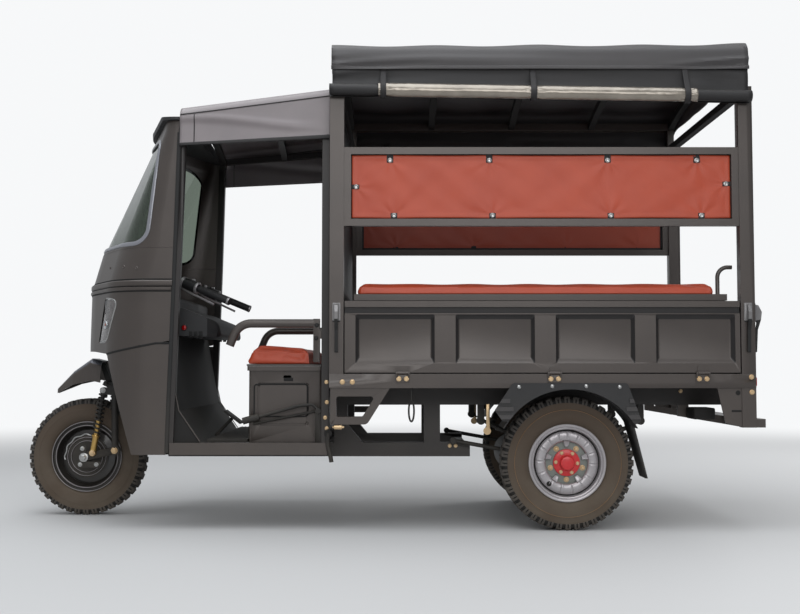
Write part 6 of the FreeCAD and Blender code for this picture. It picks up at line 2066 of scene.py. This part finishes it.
build_bolts()


# %% Fittings below the bed
def build_fittings():
    hook = [(0.157 + 0.0115 * math.sin(math.radians(30 * i)), -0.622,
             0.512 + 0.046 * math.cos(math.radians(30 * i))) for i in range(12)]
    lever = [(-0.198, -0.5685, 0.415), (-0.204, -0.5685, 0.372), (-0.190, -0.5685, 0.330),
             (-0.184, -0.5685, 0.292)]
    runs = [(hook, 0.0042, True, True), ([(0.157, -0.622, 0.612), (0.157, -0.622, 0.553)], 0.0055, False,
                                         False), (lever, 0.0095, False, True)]
    add_tubes("rope_hook_and_lever", runs, "chassis", axle_black)
    gold = bmesh.new()
    turn(gold, [(0, 0.050), (0.0045, 0.049), (0.006, 0.040), (0.0105, 0.039), (0.0105, 0.008),
                (0.006, 0.007), (0.0045, 0.0), (0, 0.0)], (-0.176, -0.636, 0.4450), (1, 0, 0), 14)
    for side in (-1, 1):
        block(gold, (0.486, side * 0.452 - 0.004, 0.420), (0.502, side * 0.452 + 0.004, 0.536), 0.002)
        turn(gold, [(0, 0.006), (0.0150, 0.006), (0.0165, 0.004), (0.0165, -0.006), (0, -0.006)],
             (0.490, side * 0.452, 0.418), (0, 1, 0), 20)
    add_piece(gold, "brake_arms", "chassis", gold_nut)
    dark = bmesh.new()
    for side in (-1, 1):
        face = side * 0.6440
        low, high = sorted((face - side * 0.001, face + side * 0.0006))
        # Painted shade: these thin deep black strips stand for the shade inside two slots.
        block(dark, (1.506, low, 0.508), (1.548, high, 0.517), 0.0003)
        turn(dark, [(0, 0.0012), (0.0100, 0.0010), (0.0105, -0.0010)], (1.534, face, 0.589),
             (0, side, 0), 20)
    block(dark, (1.385, -0.500, 0.470), (1.478, -0.362, 0.520), 0.006)
    turn(dark, [(0, 0.006), (0.0155, 0.006), (0.0170, 0.004), (0.0170, -0.006), (0, -0.006)],
         (-0.198, -0.5685, 0.415), (0, -1, 0), 24)
    add_piece(dark, "coupling_and_slots", "chassis", deep_black)


build_fittings()

# %% [markdown]
# ## Inside the cab
# The dashboard pod carries a small red reflector and two rows of switches. The bar has pale lever perches
# and collars. The rubber mat is ribbed, and the toe board is closed at both sides.

# %% Toe board and mat
TOE_SIDE = [(-0.903, 0.322), (-0.903, 0.779), (-0.845, 0.512), (-0.756, 0.376), (-0.756, 0.330)]
TOE_EDGE = [(-0.9000, 0.779), (-0.8420, 0.510), (-0.7500, 0.377)]


def build_toe_board():
    bm = bmesh.new()
    for side in (-1, 1):
        rings = [[bm.verts.new((x, side * y, z)) for x, z in TOE_SIDE] for y in (0.509, 0.546)]
        for i in range(len(TOE_SIDE)):
            j = (i + 1) % len(TOE_SIDE)
            bm.faces.new((rings[0][i], rings[0][j], rings[1][j], rings[1][i]))
        bm.faces.new(rings[0])
        bm.faces.new(list(reversed(rings[1])))
    add_piece(bm, "toe_sides", "chassis", deep_black)
    runs = [([(x, side * 0.5475, z) for x, z in TOE_EDGE], 0.0024, False, False) for side in (-1, 1)]
    add_tubes("toe_edges", runs, "chassis", body_paint)


def build_mat_ribs():
    low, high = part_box("floor_mat")
    bm = bmesh.new()
    x = low.x + 0.012
    while x < high.x - 0.012:
        block(bm, (x - 0.003, low.y + 0.012, high.z - 0.001), (x + 0.003, high.y - 0.012, high.z + 0.002))
        x += 0.016
    add_piece(bm, "mat_ribs", body_of("floor_mat"), black_rubber)


build_toe_board()
build_mat_ribs()


# %% Switches, reflector and bar fittings
def build_cab_fittings():
    red, dark, pale = bmesh.new(), bmesh.new(), bmesh.new()
    for side in (-1, 1):
        out = (0, side, 0)
        turn(dark, [(0, 0.002), (0.0125, 0.002), (0.0145, 0.0005), (0.0145, -0.003), (0, -0.003)],
             (-0.852, side * 0.400, 0.872), out, 24)
        turn(red, [(0, 0.0065), (0.006, 0.0060), (0.0105, 0.0035), (0.0112, 0.001)],
             (-0.852, side * 0.400, 0.872), out, 24)
        low, high = y_span(side, 0.397, 0.4035)
        for x in (-0.822, -0.800, -0.778):
            block(dark, (x - 0.008, low, 0.826), (x + 0.008, high, 0.856), 0.0015)
            block(pale, (x - 0.0055, min(low, high + side * 0.001), 0.832),
                  (x + 0.0055, max(high, low + side * 0.001), 0.836), 0.0005)
    add_piece(red, "dash_reflectors", "chassis", red_lens)
    add_piece(dark, "dash_switches", "chassis", deep_black)
    add_piece(pale, "dash_switch_marks", "chassis", gasket_grey)
    bar, glossy = bmesh.new(), bmesh.new()
    body = body_of("handlebar")
    for side in (-1, 1):
        start, end = Vector((-0.930, side * 0.236, 1.104)), Vector((-0.660, side * 0.335, 0.992))
        run = (end - start).normalized()
        for share, radius, long in ((0.145, 0.0268, 0.016), (0.400, 0.0268, 0.012), (0.965, 0.0182, 0.010)):
            turn(bar, [(radius * 0.7, 0), (radius * 0.96, 0), (radius, 0.002), (radius, long - 0.002),
                       (radius * 0.96, long), (radius * 0.7, long)], start.lerp(end, share), run, 28,
                 closed=True)
        middle = start.lerp(end, 0.29)
        block(glossy, middle + Vector((-0.020, -0.014, 0.018)), middle + Vector((0.020, 0.014, 0.029)),
              0.003)
    add_piece(bar, "bar_collars", body, silver_enamel)
    add_piece(glossy, "bar_switches", body, rim_black)
    levers = []
    for side in (-1, 1):
        levers.append(([(-0.905, side * 0.250, 1.070), (-0.872, side * 0.262, 1.044),
                        (-0.800, side * 0.300, 1.012), (-0.735, side * 0.322, 0.980)], 0.0055, False, True))
    add_tubes("bar_levers", levers, body, silver_enamel)


build_cab_fittings()


# %% Grooves of the seat box
def build_seat_lines():
    dark = bmesh.new()
    for side in (-1, 1):
        low, high = y_span(side, 0.489, 0.4912)
        # Painted shade: deep black strips stand for the shade under the lid's lip and in a small slot below
        # it.
        block(dark, (-0.550, low, 0.684), (-0.234, high, 0.7005), 0.0006)
        block(dark, (-0.398, low, 0.636), (-0.357, high, 0.651), 0.0006)
    add_piece(dark, "seat_box_lip", "chassis", deep_black)
    # Painted shade: a deep black tube round the recess stands for the shade in its groove.
    runs = []
    for side in (-1, 1):
        corners = [(-0.526, 0.622), (-0.295, 0.622), (-0.295, 0.483), (-0.526, 0.483)]
        outline = []
        for i, (x, z) in enumerate(corners):
            for turn_by in (0, 30, 60, 90):
                angle = math.radians(135 - 90 * i + 45 - turn_by)
                outline.append((x + (0.012 if x < -0.4 else -0.012) + 0.012 * math.cos(angle),
                                side * 0.4868, z + (0.012 if z < 0.55 else -0.012)
                                + 0.012 * math.sin(angle)))
        runs.append((outline, 0.0048, True, False))
    add_tubes("seat_box_recess", runs, "chassis", deep_black)


build_seat_lines()

# %% [markdown]
# ## Front wheel highlight rings
# Two rolled rings of the front rim and two of its brake plate carry pale rings, painted highlights for the
# light along them.


# %% Painted highlight rings
def build_front_highlight_rings():
    rings = ((0.1632, 0.0485, "front_wheel"), (0.1462, 0.0456, "front_wheel"), (0.0905, 0.0470, "fork"),
             (0.0738, 0.0468, "fork"))
    # Painted highlight: a pale grey for the rolled rings, lighter than the black rim and plate they sit on.
    pale = finish("lip_highlight_grey", colour(150, 146, 148), colour(124, 120, 122), rough=0.38, metal=0.3,
                  dust_amount=0.25)
    for i, (radius, out, node) in enumerate(rings):
        bm = bmesh.new()
        wide = 0.0024 if node == "front_wheel" else 0.0017
        turn(bm, [(radius - wide, out - 0.0012), (radius - wide * 0.5, out + 0.0008), (radius, out + 0.0012),
                  (radius + wide * 0.5, out + 0.0008), (radius + wide, out - 0.0012), (radius, out - 0.003)],
             front_centre, (0, -1, 0), 96, closed=True)
        add_piece(bm, f"front_highlight_ring_{i + 1}", body_of(node), pale)


build_front_highlight_rings()
